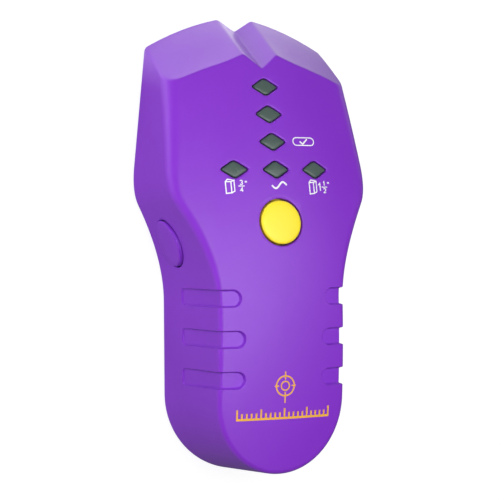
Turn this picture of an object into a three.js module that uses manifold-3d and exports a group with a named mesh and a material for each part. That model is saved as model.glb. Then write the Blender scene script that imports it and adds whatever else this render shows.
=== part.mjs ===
// Handheld stud finder: a wedge-shaped casing with a wide head and a narrow grip, six diamond lenses over
// six lamps, a round button on the face, an oval one on the side, and a 9 V battery behind a hinged lid.
// Millimetres. It lies on its back: +Z out of the face, +Y towards the head, origin at the middle of the back.
import * as THREE from "three";
import { mergeVertices } from "three/addons/utils/BufferGeometryUtils.js";
import Module from "manifold-3d";

const wasm = await Module();
wasm.setup();

// ---- Driving sizes: casing outline, right half, at the height where the rounded back edge ends
const LENGTH = 156.9;
const SHOULDER_HALF = 38.9; // before the shoulder's corner is rounded
const GRIP_HALF = 27.35;
const HEAD_TAPER = 0.103; // half width lost for each mm above the shoulder
const SHOULDER_FROM_PEAK = 60.1;
const WAIST_FROM_SHOULDER = 23; // where the lines of shoulder and grip would meet
const GRIP_TOP_FROM_HEEL = 59.2;
const HEEL_ROUND = 27.2; // length of the half-oval heel
const SHOULDER_ROUND_UP = 8.75;
const SHOULDER_ROUND_DOWN = 5.15;

// ---- Driving sizes: heights, drafts and edges
const THICKNESS = 40.4; // at the crest of the grip
const HEEL_DROP = 4.9;
const RAMP_SLOPE = 0.33;
const RAMP_END_FROM_PEAK = 15.7;
const RAMP_DROP = 17.4; // from the crest down to the ramp's end
const FACE_CROWN = 0.004; // drop per mm squared from the middle line
const GRIP_DRAFT = 0.115;
const HEAD_DRAFT = 0.05;
const HEEL_DRAFT = 0.055;
const ROOF_LEAN = 0.66;
const ROOF_SLOPE = 0.13;
const ROOF_CURVE = 0.0065;
const NOTCH_HALF = 6.4;
const NOTCH_DEPTH = 4.1;
const PEAK_SPREAD = 0.27; // how far the notch's peaks move apart for each mm of inset
const BACK_ROUND = 1.5;
const EDGE_GRIP = 1.5;
const EDGE_HEAD = 5.4;
const EDGE_GROWTH = 0.05; // edge radius gained for each mm above the grip

// ---- Driving sizes: shells
const WALL = 2.4;
const FLOOR = 2;
const PARTING_Z = 3;
const LIP_HEIGHT = 2;
const LIP_THICK = 1.2;
const GAP = 0.3; // between pieces that touch

// ---- Driving sizes: grooves, lenses and buttons
const GROOVE_WIDTH = 5.6;
const GROOVE_DEPTH = 1.3;
const GROOVE_PITCH = 13.5;
const GROOVE_FIRST_FROM_HEEL = 34.1;
const GROOVE_END_X = [14.3, 14.3, 15.6];
const GROOVE_LOW_Z = 13.5;
const LENS_HALF_X = 4.9;
const LENS_HALF_Y = 3;
const LENS_FLANGE = 0.9;
const LENS_SUNK = 0.15;
const LENS_ROW_FROM_PEAK = 53.25; // the row of three
const LENS_PITCH_Y = 9.4;
const LENS_PITCH_X = 14.9;
const BUTTON_R = 7.3;
const BUTTON_HOLE_R = 7.75;
const BUTTON_PROUD = 0.7;
const BUTTON_FROM_PEAK = 70.85;
const SCAN_HALF_Y = 7.7;
const SCAN_HALF_Z = 6.4;
const SCAN_Z = 13.5;
const SCAN_PROUD = 1.6;
const SCAN_FROM_PEAK = 77.8;
const SCAN_SLOPE_SHARE = 0.78; // the wall's slope at the side button, as a share of the waist's mean slope
const KEY_TRAVEL = 0.5;
const KEY_FLANGE = 1.1; // how far the face button's retaining flange stands out past its hole
const KEY_FLANGE_THICK = 1.5;
const KEY_STEM_R = 2.4;
const SCAN_FLANGE = 1.3;
const SCAN_STEM_R = 2.2;
const SCAN_DOME_DEPTH = 6;
const SCAN_DOME_SPREAD = 1.5; // the dome's oval, as a multiple of the button's own
const KEY_SEATED = 1.2; // how far a plunger reaches into its switch

// ---- Driving sizes: battery and its box, circuit boards, screws
const BATTERY = { x: 26.5, y: 45.5, z: 17.5 };
const BATTERY_CLEAR = 0.5;
const TERMINAL_X = 6.35;
const TERMINAL_H = 2.6;
const SNAP_THICK = 3.4;
const LEAD_ROOM = 3.2;
const LEAD_R = 0.7;
const BOX_WALL = 1.5;
const BOX_FROM_HEEL = 11.8;
const DOOR_THICK = 1.8;
const BOARD_THICK = 1.6;
const BOARD_Z = 12;
const BOARD_HALF = 20.5;
const BOARD_END_FROM_PEAK = 21.5;
const BOARD_LENGTH = 68.5;
const SENSOR_Z = 4;
const SENSOR_THICK = 1;
const SENSOR_HALF = 21;
const SENSOR_END_FROM_PEAK = 14.5;
const SENSOR_LENGTH = 42;
const LAMP_R = 1.5;
const LAMP_H = 4.4;
const SWITCH_SIDE = 6;
const SWITCH_H = 3.5;
const PLUNGER_R = 1.75;
const SCREW_R = 1.3;
const SCREW_HEAD_R = 2.6;
const SCREW_HEAD_H = 2;
const SCREW_LENGTH = 13;
const BOSS_R = 3.1;
const BOARD_BOSS_R = 2.4;
const BOARD_SCREW_R = 0.9;
const BOARD_SCREW_HEAD_R = 1.8;
const BOARD_SCREW_LENGTH = 6;

// ---- Places that follow from them
const PEAK_Y = LENGTH / 2;
const HEEL_Y = -LENGTH / 2;
const SHOULDER_Y = PEAK_Y - SHOULDER_FROM_PEAK;
const GRIP_TOP_Y = HEEL_Y + GRIP_TOP_FROM_HEEL;
const HEEL_CENTRE_Y = HEEL_Y + HEEL_ROUND;
const BUTTON_Y = PEAK_Y - BUTTON_FROM_PEAK;
const SCAN_Y = PEAK_Y - SCAN_FROM_PEAK;
const BOARD_TOP = BOARD_Z + BOARD_THICK;
const BOARD_Y1 = PEAK_Y - BOARD_END_FROM_PEAK;
const BOARD_Y0 = BOARD_Y1 - BOARD_LENGTH;
const BOX_Y0 = HEEL_Y + BOX_FROM_HEEL;
const BATTERY_Y0 = BOX_Y0 + BATTERY_CLEAR;
const BATTERY_Y1 = BATTERY_Y0 + BATTERY.y;
const SNAP_Y0 = BATTERY_Y1 + GAP;
const BOX_Y1 = SNAP_Y0 + SNAP_THICK + LEAD_ROOM;
const BOX_HALF = BATTERY.x / 2 + BATTERY_CLEAR;
const BATTERY_Z0 = FLOOR + BATTERY_CLEAR;
const BOX_Z1 = BATTERY_Z0 + BATTERY.z + BATTERY_CLEAR;
const LENS_ROW_Y = PEAK_Y - LENS_ROW_FROM_PEAK;
const LENSES = {
  top: [0, LENS_ROW_Y + 3 * LENS_PITCH_Y],
  middle: [0, LENS_ROW_Y + 2 * LENS_PITCH_Y],
  ready: [0, LENS_ROW_Y + LENS_PITCH_Y],
  left: [-LENS_PITCH_X, LENS_ROW_Y],
  centre: [0, LENS_ROW_Y],
  right: [LENS_PITCH_X, LENS_ROW_Y],
};
const HOUSING_SCREWS = {
  head_left: [-BOARD_HALF - 5, BOARD_Y1 - 9],
  head_right: [BOARD_HALF + 5, BOARD_Y1 - 9],
  grip_left: [-(BOX_HALF + BOX_WALL + BOSS_R + 0.6), HEEL_CENTRE_Y],
  grip_right: [BOX_HALF + BOX_WALL + BOSS_R + 0.6, HEEL_CENTRE_Y],
};
const BOARD_SCREW_X = BOARD_HALF - 3;
const BOARD_SCREWS = {
  top_left: [-BOARD_SCREW_X, BOARD_Y1 - 3.5],
  top_right: [BOARD_SCREW_X, BOARD_Y1 - 3.5],
  bottom_left: [-BOARD_SCREW_X, BOARD_Y0 + 3.5],
  bottom_right: [BOARD_SCREW_X, BOARD_Y0 + 3.5],
};

// ---- Solids: joining and cutting
function toSolid(geometry) {
  const bare = geometry.index ? geometry.toNonIndexed() : geometry.clone();
  bare.deleteAttribute("normal");
  bare.deleteAttribute("uv");
  const merged = mergeVertices(bare, 1e-4);
  return new wasm.Manifold(
    new wasm.Mesh({
      numProp: 3,
      vertProperties: merged.attributes.position.array,
      triVerts: new Uint32Array(merged.index.array),
    }),
  );
}

function toGeometry(solid) {
  const mesh = solid.getMesh();
  return new THREE.BufferGeometry()
    .setAttribute("position", new THREE.BufferAttribute(mesh.vertProperties, 3))
    .setIndex(new THREE.BufferAttribute(mesh.triVerts, 1));
}

const join = (...solids) => solids.reduce((a, b) => a.add(b));
const cut = (solid, ...tools) => tools.reduce((a, b) => a.subtract(b), solid);

function box(x0, x1, y0, y1, z0, z1) {
  const geometry = new THREE.BoxGeometry(x1 - x0, y1 - y0, z1 - z0);
  return toSolid(geometry.translate((x0 + x1) / 2, (y0 + y1) / 2, (z0 + z1) / 2));
}

// An upright round post at [x, y], or one along X or Y when the axis is named
function post(r, z0, z1, [x, y] = [0, 0], sides = 16) {
  const geometry = new THREE.CylinderGeometry(r, r, z1 - z0, sides);
  return toSolid(geometry.rotateX(Math.PI / 2).translate(x, y, (z0 + z1) / 2));
}

function rodX(r, x0, x1, y, z, sides = 20) {
  const geometry = new THREE.CylinderGeometry(r, r, x1 - x0, sides);
  return toSolid(geometry.rotateZ(Math.PI / 2).translate((x0 + x1) / 2, y, z));
}

function rodY(r, y0, y1, x, z, sides = 20) {
  const geometry = new THREE.CylinderGeometry(r, r, y1 - y0, sides);
  return toSolid(geometry.translate(x, (y0 + y1) / 2, z));
}

function prism(shape, z0, z1, steps = 6) {
  const settings = { depth: z1 - z0, bevelEnabled: false, curveSegments: steps };
  return toSolid(new THREE.ExtrudeGeometry(shape, settings).translate(0, 0, z0));
}

// Closed skin over rings of points, all counter-clockwise from above, the lowest ring first
function skin(rings, lowCentre, highCentre) {
  const count = rings[0].length;
  const points = [...rings.flat(), lowCentre, highCentre];
  const low = points.length - 2;
  const high = points.length - 1;
  const faces = [];
  for (let i = 0; i < count; i++) {
    const j = (i + 1) % count;
    faces.push(low, j, i);
    for (let k = 0; k + 1 < rings.length; k++) {
      const a = k * count;
      const b = a + count;
      faces.push(a + i, a + j, b + j, a + i, b + j, b + i);
    }
    const last = (rings.length - 1) * count;
    faces.push(high, last + i, last + j);
  }
  return toSolid(new THREE.BufferGeometry().setFromPoints(points).setIndex(faces));
}

// ---- The face: a level crest over the grip, a ramp down to the head's end, a crown across
const crest = new THREE.Vector2(GRIP_TOP_Y - 8, THICKNESS);
const rampEnd = new THREE.Vector2(PEAK_Y - RAMP_END_FROM_PEAK, THICKNESS - RAMP_DROP);
const ramp = new THREE.CubicBezierCurve(
  crest,
  new THREE.Vector2(crest.x + 35, crest.y),
  new THREE.Vector2(rampEnd.x - 30, rampEnd.y + 30 * RAMP_SLOPE),
  rampEnd,
);

function rampZ(y) {
  let low = 0;
  let high = 1;
  for (let i = 0; i < 30; i++) {
    const middle = (low + high) / 2;
    if (ramp.getPoint(middle).x < y) low = middle;
    else high = middle;
  }
  return ramp.getPoint(low).y;
}

function faceZ(x, y) {
  let z = rampZ(y);
  if (y > rampEnd.x) z = rampEnd.y - RAMP_SLOPE * (y - rampEnd.x);
  if (y < crest.x) z = THICKNESS - HEEL_DROP * ((crest.x - y) / (crest.x - HEEL_Y)) ** 2;
  return z - FACE_CROWN * x * x;
}

const edgeRadius = (y) =>
  THREE.MathUtils.clamp(EDGE_GRIP + EDGE_GROWTH * (y - GRIP_TOP_Y), EDGE_GRIP, EDGE_HEAD);

// ---- The outline at a height, moved inwards by inset; the head runs on past the roof, which is cut later
const OVERRUN = 8;

function outline(z, inset) {
  const rise = z - BACK_ROUND;
  const headX = (x) => x - HEAD_DRAFT * rise - inset;
  const gripX = GRIP_HALF - GRIP_DRAFT * rise - inset;
  const topX = SHOULDER_HALF - HEAD_TAPER * (SHOULDER_FROM_PEAK + OVERRUN);
  const top = new THREE.Vector2(headX(topX), PEAK_Y + OVERRUN);
  const shoulder = new THREE.Vector2(headX(SHOULDER_HALF), SHOULDER_Y);
  const waist = new THREE.Vector2(gripX, SHOULDER_Y - WAIST_FROM_SHOULDER);
  const gripTop = new THREE.Vector2(gripX, GRIP_TOP_Y);
  const gripEnd = new THREE.Vector2(gripX, HEEL_CENTRE_Y);
  const step = (from, to, length) =>
    from.clone().add(to.clone().sub(from).setLength(length));
  const roundStart = step(shoulder, top, SHOULDER_ROUND_UP);
  const roundEnd = step(shoulder, waist, SHOULDER_ROUND_DOWN);
  const heelY = HEEL_ROUND - HEEL_DRAFT * rise - inset;
  const stretches = [
    [new THREE.LineCurve(top, roundStart), 7],
    [new THREE.QuadraticBezierCurve(roundStart, shoulder, roundEnd), 4],
    [new THREE.QuadraticBezierCurve(roundEnd, waist, gripTop), 6],
    [new THREE.LineCurve(gripTop, gripEnd), 3],
    [new THREE.EllipseCurve(0, HEEL_CENTRE_Y, gripEnd.x, heelY, 0, -Math.PI / 2, true), 10],
  ];
  const right = stretches.flatMap(([curve, count]) => curve.getPoints(count).slice(0, -1));
  const heel = new THREE.Vector2(0, HEEL_CENTRE_Y - heelY);
  const left = right.map((p) => new THREE.Vector2(-p.x, p.y));
  return [heel, ...right.toReversed(), ...left];
}

// ---- The casing's body without its roof: straight drafted sides, a rounded edge, then the face
const FACE_RINGS = 4;
const EDGE_STEPS = 3;

function body(inset, lowZ) {
  const base = outline(0, inset);
  const lean = outline(1, inset).map((p, i) => p.sub(base[i]));
  const at = (i, z) => base[i].clone().addScaledVector(lean[i], z);
  const count = base.length;
  const edge = base.map((p, i) => {
    let z = THICKNESS;
    for (let k = 0; k < 12; k++) z = faceZ(at(i, z).x, at(i, z).y) - inset;
    return z;
  });
  const rim = edge.map((z, i) => at(i, z));
  const radius = rim.map((p) => Math.max(edgeRadius(p.y) - inset, EDGE_GRIP / 3));
  const inner = rim.map((p, i) => {
    const along = rim[(i + 1) % count].clone().sub(rim[(i + count - 1) % count]);
    const inwards = new THREE.Vector2(-along.y, along.x).setLength(radius[i]);
    return p.clone().add(inwards);
  });
  const onFace = (p) => new THREE.Vector3(p.x, p.y, faceZ(p.x, p.y) - inset);
  const rings = [base.map((p, i) => new THREE.Vector3(at(i, lowZ).x, at(i, lowZ).y, lowZ))];
  for (let k = 0; k <= EDGE_STEPS; k++) {
    const turn = (k / EDGE_STEPS) * (Math.PI / 2);
    rings.push(
      rim.map((p, i) => {
        const corner = onFace(p);
        const below = at(i, edge[i] - radius[i]);
        const start = new THREE.Vector3(below.x, below.y, edge[i] - radius[i]);
        const end = onFace(inner[i]);
        const centre = start.clone().add(end).sub(corner);
        return centre
          .addScaledVector(corner.clone().sub(end), Math.cos(turn))
          .addScaledVector(corner.clone().sub(start), Math.sin(turn));
      }),
    );
  }
  for (let k = 1; k < FACE_RINGS; k++)
    rings.push(inner.map((p) => onFace(p.clone().multiplyScalar(1 - k / FACE_RINGS))));
  const origin = new THREE.Vector2(0, 0);
  return skin(rings, new THREE.Vector3(0, 0, lowZ), onFace(origin));
}

// ---- The roof with its V notch: everything past it, swept along the roof's lean, is cut away
const LEANING_WALL = Math.hypot(1, ROOF_LEAN); // a wall's thickness measured along the back

function roofCutter(inset, lean, z0, z1) {
  const drop = inset * LEANING_WALL;
  const fall = NOTCH_DEPTH / NOTCH_HALF;
  const peakX = NOTCH_HALF + PEAK_SPREAD * inset;
  const atPeak = PEAK_Y + ROOF_SLOPE * NOTCH_HALF + ROOF_CURVE * NOTCH_HALF ** 2;
  const roofY = (x) => atPeak - ROOF_SLOPE * x - ROOF_CURVE * x * x - drop;
  const reach = SHOULDER_HALF + 4;
  const far = PEAK_Y + 60;
  const right = [];
  for (let k = 0; k <= 6; k++) {
    const x = THREE.MathUtils.lerp(peakX, reach, k / 6);
    right.push(new THREE.Vector2(x, roofY(x)));
  }
  const valley = new THREE.Vector2(0, PEAK_Y - NOTCH_DEPTH - drop * Math.hypot(1, fall));
  const left = right.map((p) => new THREE.Vector2(-p.x, p.y)).toReversed();
  const corners = [new THREE.Vector2(-reach, far), ...left, valley, ...right];
  const shape = new THREE.Shape([...corners, new THREE.Vector2(reach, far)]);
  const settings = { depth: z1 - z0, bevelEnabled: false };
  const shear = new THREE.Matrix4().makeShear(0, 0, 0, 0, 0, -lean);
  const geometry = new THREE.ExtrudeGeometry(shape, settings);
  geometry.translate(0, 0, z0 - BACK_ROUND).applyMatrix4(shear);
  return toSolid(geometry.translate(0, 0, BACK_ROUND));
}

function casing(inset, lowZ) {
  return cut(body(inset, lowZ), roofCutter(inset, ROOF_LEAN, lowZ - 2, THICKNESS + 5));
}

// A slab of the casing between two heights, with upright ends
function slab(inset, z0, z1) {
  return casing(inset, z0).intersect(box(-100, 100, -LENGTH, LENGTH, z0 - 1, z1));
}

// ---- Shapes that several pieces share
function diamond([x, y], grow) {
  const hx = LENS_HALF_X + grow * 1.6;
  const hy = LENS_HALF_Y + grow * 1.1;
  const soft = 0.16; // share of each side that its rounded corner takes
  const corners = [[hx, 0], [0, hy], [-hx, 0], [0, -hy]].map(([u, v]) => new THREE.Vector2(x + u, y + v));
  const shape = new THREE.Shape();
  corners.forEach((corner, i) => {
    const next = corners[(i + 1) % 4];
    const after = corners[(i + 2) % 4];
    const from = corner.clone().lerp(next, soft);
    const to = corner.clone().lerp(next, 1 - soft);
    const turn = next.clone().lerp(after, soft);
    if (i === 0) shape.moveTo(from.x, from.y);
    shape.lineTo(to.x, to.y);
    shape.quadraticCurveTo(next.x, next.y, turn.x, turn.y);
  });
  return shape;
}

function scanOval(grow, x0, x1) {
  const geometry = new THREE.CylinderGeometry(1, 1, x1 - x0, 24);
  geometry.rotateZ(Math.PI / 2).scale(1, SCAN_HALF_Y + grow, SCAN_HALF_Z + grow);
  return toSolid(geometry.translate((x0 + x1) / 2, SCAN_Y, SCAN_Z));
}

function roundedBox(width, length, corner, z0, z1, [x, y] = [0, 0]) {
  const shape = new THREE.Shape();
  const a = width / 2 - corner;
  const b = length / 2 - corner;
  const quarter = Math.PI / 2;
  shape.absarc(x + a, y + b, corner, 0, quarter);
  shape.absarc(x - a, y + b, corner, quarter, 2 * quarter);
  shape.absarc(x - a, y - b, corner, 2 * quarter, 3 * quarter);
  shape.absarc(x + a, y - b, corner, 3 * quarter, 4 * quarter);
  return prism(shape, z0, z1, 2);
}

// ---- The named pieces
const part = new THREE.Group();
const finishes = {
  casing: { color: 0x7a35c4, roughness: 0.45 },
  yellow: { color: 0xffd91f, roughness: 0.4 },
  lens: { color: 0x4d6b5c, roughness: 0.3 },
  lamp: { color: 0xc8e6c0, roughness: 0.2 },
  board: { color: 0x1f6b3a, roughness: 0.5 },
  copper: { color: 0xb8713a, roughness: 0.35, metalness: 1 },
  steel: { color: 0xb8bcc0, roughness: 0.35, metalness: 1 },
  black: { color: 0x1b1b1d, roughness: 0.5 },
  red: { color: 0xb01818, roughness: 0.5 },
  battery: { color: 0x2d3a4a, roughness: 0.4, metalness: 0.4 },
  cream: { color: 0xd8d2c0, roughness: 0.5 },
};

// Booleans on curved skins can shed crumbs smaller than a grain of dust; they are swept away here
const CRUMB = 0.01;

function swept(solid) {
  const bodies = solid.decompose().filter((b) => b.volume() > CRUMB);
  return bodies.length === 1 ? bodies[0] : solid;
}

function add(name, finish, solid) {
  const material = new THREE.MeshStandardMaterial(finishes[finish]);
  const mesh = new THREE.Mesh(toGeometry(swept(solid)), material);
  mesh.name = name;
  part.add(mesh);
}

const HIGH = THICKNESS + 10;
const insideFace = (inset) => body(inset, PARTING_Z - 1);

// Front shell: the drafted hood with bosses for both sets of screws and a guide collar for the button
const BOSS_Z = PARTING_Z + 3;
const COLLAR_Z = faceZ(0, BUTTON_Y) - WALL - 3.4;
const COLLAR_WALL = 1.5;

function groove(index, side) {
  const y = HEEL_Y + GROOVE_FIRST_FROM_HEEL + index * GROOVE_PITCH;
  const r = GROOVE_WIDTH / 2;
  const centreX = GROOVE_END_X[index] + r;
  const far = GRIP_HALF + 6;
  const run = side > 0 ? [centreX, far] : [-far, -centreX];
  return join(
    post(r, GROOVE_LOW_Z, HIGH, [side * centreX, y]),
    box(run[0], run[1], y - r, y + r, GROOVE_LOW_Z, HIGH),
  );
}

function frontShell() {
  const outer = casing(0, PARTING_Z);
  const fill = casing(WALL / 2, BOSS_Z);
  const bosses = Object.values(HOUSING_SCREWS).map((at) => post(BOSS_R, BOSS_Z, HIGH, at));
  const boardBosses = Object.values(BOARD_SCREWS).map((at) => post(BOARD_BOSS_R, BOARD_TOP, HIGH, at));
  const collar = post(BUTTON_HOLE_R + COLLAR_WALL, COLLAR_Z, HIGH, [0, BUTTON_Y], 32);
  const inner = join(...bosses, ...boardBosses, collar).intersect(fill);
  const grooves = [0, 1, 2].flatMap((i) => [groove(i, 1), groove(i, -1)]);
  const pilots = Object.values(HOUSING_SCREWS).map((at) =>
    post(SCREW_R + GAP, BOSS_Z - 1, SCREW_TIP_Z + 1, at, 12),
  );
  const boardPilots = Object.values(BOARD_SCREWS).map((at) =>
    post(BOARD_SCREW_R + GAP, BOARD_TOP - 1, BOARD_Z + BOARD_SCREW_LENGTH + 1, at, 8),
  );
  const windows = Object.values(LENSES).map((at) => prism(diamond(at, 0.35), PARTING_Z, HIGH, 2));
  return cut(
    join(cut(outer, casing(WALL, PARTING_Z - 1)), inner),
    cut(join(...grooves), casing(GROOVE_DEPTH, PARTING_Z - 1)),
    post(BUTTON_HOLE_R, COLLAR_Z - 1, HIGH, [0, BUTTON_Y], 32),
    scanOval(0.4, -SHOULDER_HALF - 5, -GRIP_HALF / 2),
    ...windows,
    ...pilots,
    ...boardPilots,
  );
}

const SCREW_SEAT_Z = SCREW_HEAD_H + 0.4;
const SCREW_TIP_Z = SCREW_SEAT_Z + SCREW_LENGTH;
add("front_shell", "casing", frontShell());

// Rear shell: a shallow tray with a rounded back edge, a locating lip and the battery box
const DOOR_Y0 = BOX_Y0;
const DOOR_Y1 = BOX_Y1;
const HOOK_X = 8;
const HOOK_WIDTH = 5;
const HOOK_REACH = 2.4;
const HOOK_THICK = 1.2;
const SLOT_TOP_Z = FLOOR + 4;
const THUMB_R = 5;
const HOOK_ROOT = 2.2;

function rearShell() {
  const rounds = [0, 1, 2, 3, 4].map((k) => (k / 4) * (Math.PI / 2));
  const rings = rounds.map((turn) => {
    const z = BACK_ROUND * (1 - Math.cos(turn));
    const inset = BACK_ROUND * (1 - Math.sin(turn));
    return outline(z, inset).map((p) => new THREE.Vector3(p.x, p.y, z));
  });
  rings.push(outline(PARTING_Z, 0).map((p) => new THREE.Vector3(p.x, p.y, PARTING_Z)));
  const tray = cut(
    skin(rings, new THREE.Vector3(0, 0, 0), new THREE.Vector3(0, 0, PARTING_Z)),
    roofCutter(0, ROOF_LEAN, BACK_ROUND, PARTING_Z + 1),
    roofCutter(0, -1, -1, BACK_ROUND),
  );
  const lipOuter = WALL + GAP;
  const lip = slab(lipOuter, PARTING_Z - 0.5, PARTING_Z + LIP_HEIGHT);
  const hollow = slab(lipOuter + LIP_THICK, FLOOR, PARTING_Z + LIP_HEIGHT + 1);
  const half = BOX_HALF + BOX_WALL;
  const boxShell = box(-half, half, BOX_Y0 - BOX_WALL, BOX_Y1 + BOX_WALL, FLOOR / 2, BOX_Z1 + BOX_WALL);
  const boxInside = box(-BOX_HALF, BOX_HALF, BOX_Y0, BOX_Y1, -1, BOX_Z1);
  const bosses = Object.values(HOUSING_SCREWS).map((at) =>
    post(BOSS_R, FLOOR / 2, BOSS_Z - GAP, at),
  );
  const restY = [SENSOR_Y0 + 2, SENSOR_Y1 - 2];
  const rests = restY.flatMap((y) =>
    [-1, 1].map((side) => post(1, FLOOR / 2, SENSOR_Z, [side * (SENSOR_HALF - 1), y], 12)),
  );
  const bores = Object.values(HOUSING_SCREWS).flatMap((at) => [
    post(SCREW_HEAD_R + GAP, -1, SCREW_SEAT_Z + GAP, at),
    post(SCREW_R + GAP, -1, HIGH, at, 12),
  ]);
  const hookSlots = [-1, 1].map((side) =>
    box(
      side * HOOK_X - HOOK_WIDTH / 2 - GAP,
      side * HOOK_X + HOOK_WIDTH / 2 + GAP,
      BOX_Y1 - 1,
      BOX_Y1 + BOX_WALL + 1,
      FLOOR,
      SLOT_TOP_Z,
    ),
  );
  const leadSlot = box(-LEAD_X - 1.5, LEAD_X + 1.5, BOX_Y1 - 1, BOX_Y1 + BOX_WALL + 1, LEAD_Z - 1.5, BOX_Z1 + 3);
  return cut(
    join(cut(join(tray, lip), hollow), boxShell, ...bosses, ...rests),
    boxInside,
    post(THUMB_R, -1, DOOR_THICK / 2, [0, DOOR_Y0]),
    leadSlot,
    ...bores,
    ...hookSlots,
  );
}

const SENSOR_Y1 = PEAK_Y - SENSOR_END_FROM_PEAK;
const SENSOR_Y0 = SENSOR_Y1 - SENSOR_LENGTH;
const LEAD_X = 3;
const LEAD_Z = BATTERY_Z0 + BATTERY.z / 2;
add("rear_shell", "casing", rearShell());

// Battery lid: a flush plate with two hooks at the waist end and a thumb notch at the heel end
function batteryLid() {
  const half = BOX_HALF - GAP;
  const plate = box(-half, half, DOOR_Y0 + GAP, DOOR_Y1 - GAP, 0, DOOR_THICK);
  const hooks = [-1, 1].map((side) => {
    const x0 = side * HOOK_X - HOOK_WIDTH / 2;
    const x1 = side * HOOK_X + HOOK_WIDTH / 2;
    return join(
      box(x0, x1, DOOR_Y1 - HOOK_ROOT, DOOR_Y1 - GAP, DOOR_THICK / 2, FLOOR + GAP + HOOK_THICK),
      box(x0, x1, DOOR_Y1 - HOOK_ROOT, DOOR_Y1 + HOOK_REACH, FLOOR + GAP, FLOOR + GAP + HOOK_THICK),
    );
  });
  return cut(join(plate, ...hooks), post(THUMB_R, -1, DOOR_THICK / 2, [0, DOOR_Y0]));
}
add("battery_lid", "casing", batteryLid());

// Battery, its two snap studs, the snap plate over them and the two leads to the board
const batteryMidZ = BATTERY_Z0 + BATTERY.z / 2;
const batteryShape = roundedBox(BATTERY.x, BATTERY.z, 2, 0, BATTERY.y);
const upright = batteryShape.rotate([90, 0, 0]).translate([0, BATTERY_Y1, batteryMidZ]);
add("battery_body", "battery", upright);

const STUDS = { positive: [-TERMINAL_X, 2.8], negative: [TERMINAL_X, 3.7] };
const stud = (r, x, grow) =>
  rodY(r + grow, BATTERY_Y1 - grow, BATTERY_Y1 + TERMINAL_H + grow, x, batteryMidZ);
for (const [name, [x, r]] of Object.entries(STUDS))
  add("battery_stud_" + name, "steel", rodY(r, BATTERY_Y1, BATTERY_Y1 + TERMINAL_H, x, batteryMidZ));
const snapPlate = box(-12.5, 12.5, SNAP_Y0, SNAP_Y0 + SNAP_THICK, batteryMidZ - 6, batteryMidZ + 6);
const studHoles = Object.values(STUDS).map(([x, r]) => stud(r, x, GAP));
add("snap_plate", "black", cut(snapPlate, ...studHoles));

function lead(side) {
  const x = side * LEAD_X;
  const startY = SNAP_Y0 + SNAP_THICK + GAP;
  const endY = BOARD_Y0 + 3;
  const padZ = BOARD_TOP + LEAD_R + GAP;
  const route = new THREE.CatmullRomCurve3([
    new THREE.Vector3(x, startY, LEAD_Z),
    new THREE.Vector3(x, startY + 1.5, LEAD_Z),
    new THREE.Vector3(x, (startY + endY) / 2, (LEAD_Z + padZ) / 2 + 1),
    new THREE.Vector3(x, BOARD_Y0 - 0.5, padZ + 0.3),
    new THREE.Vector3(x, endY, padZ),
  ]);
  const section = new THREE.Shape().absarc(0, 0, LEAD_R, 0, 2 * Math.PI);
  const settings = { steps: 14, curveSegments: 4, bevelEnabled: false, extrudePath: route };
  return toSolid(new THREE.ExtrudeGeometry(section, settings));
}
add("lead_positive", "red", lead(-1));
add("lead_negative", "black", lead(1));

// Main board, hung from the front shell by four screws, with what is soldered to it
const boardMid = [0, (BOARD_Y0 + BOARD_Y1) / 2];
const boardHoles = Object.values(BOARD_SCREWS).map((at) =>
  post(BOARD_SCREW_R + GAP, BOARD_Z - 1, BOARD_TOP + 1, at, 8),
);
const boardBlank = roundedBox(2 * BOARD_HALF, BOARD_LENGTH, 2, BOARD_Z, BOARD_TOP, boardMid);
add("main_board", "board", cut(boardBlank, ...boardHoles));

for (const [name, at] of Object.entries(BOARD_SCREWS)) {
  const head = post(BOARD_SCREW_HEAD_R, BOARD_Z - 1.3, BOARD_Z, at, 12);
  const shank = post(BOARD_SCREW_R, BOARD_Z - 1, BOARD_Z + BOARD_SCREW_LENGTH, at, 8);
  add("board_screw_" + name, "steel", join(head, shank));
}

for (const [name, at] of Object.entries(LENSES)) {
  const profile = [
    [0, 0], [LAMP_R + 0.4, 0], [LAMP_R + 0.4, 1], [LAMP_R, 1], [LAMP_R, LAMP_H - LAMP_R],
    [LAMP_R * 0.87, LAMP_H - LAMP_R * 0.5], [LAMP_R * 0.5, LAMP_H - LAMP_R * 0.13], [0, LAMP_H],
  ].map(([x, y]) => new THREE.Vector2(x, y));
  const lamp = new THREE.LatheGeometry(profile, 10).rotateX(Math.PI / 2);
  add("lamp_" + name, "lamp", toSolid(lamp.translate(at[0], at[1], BOARD_TOP)));

  const lensLow = BOARD_TOP + LAMP_H + GAP;
  const pipe = prism(diamond(at, 0), lensLow, HIGH, 2).intersect(insideFace(LENS_SUNK));
  const flangeTop = insideFace(WALL + GAP);
  const flangeLow = insideFace(WALL + GAP + 1);
  const flange = prism(diamond(at, LENS_FLANGE), lensLow, HIGH, 2);
  add("lens_" + name, "lens", join(pipe, cut(flange.intersect(flangeTop), flangeLow)));
}

const microcontrollerAt = [0, LENS_ROW_Y - 7];
add(
  "microcontroller",
  "black",
  roundedBox(10, 10, 0.4, BOARD_Z - 1.6, BOARD_Z, microcontrollerAt),
);
add("crystal", "steel", roundedBox(4.5, 11, 2.2, BOARD_Z - 3.5, BOARD_Z, [10.5, LENS_ROW_Y - 7]));
add("capacitor_supply", "black", post(2.5, BOARD_TOP, BOARD_TOP + 7, [12.5, BUTTON_Y + 6]));
add("capacitor_filter", "black", post(2, BOARD_TOP, BOARD_TOP + 5, [-11.5, BUTTON_Y + 5]));
add("buzzer", "black", post(5, BOARD_TOP, BOARD_TOP + 6.5, [9.5, BOARD_Y0 + 8.5], 32));

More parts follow.
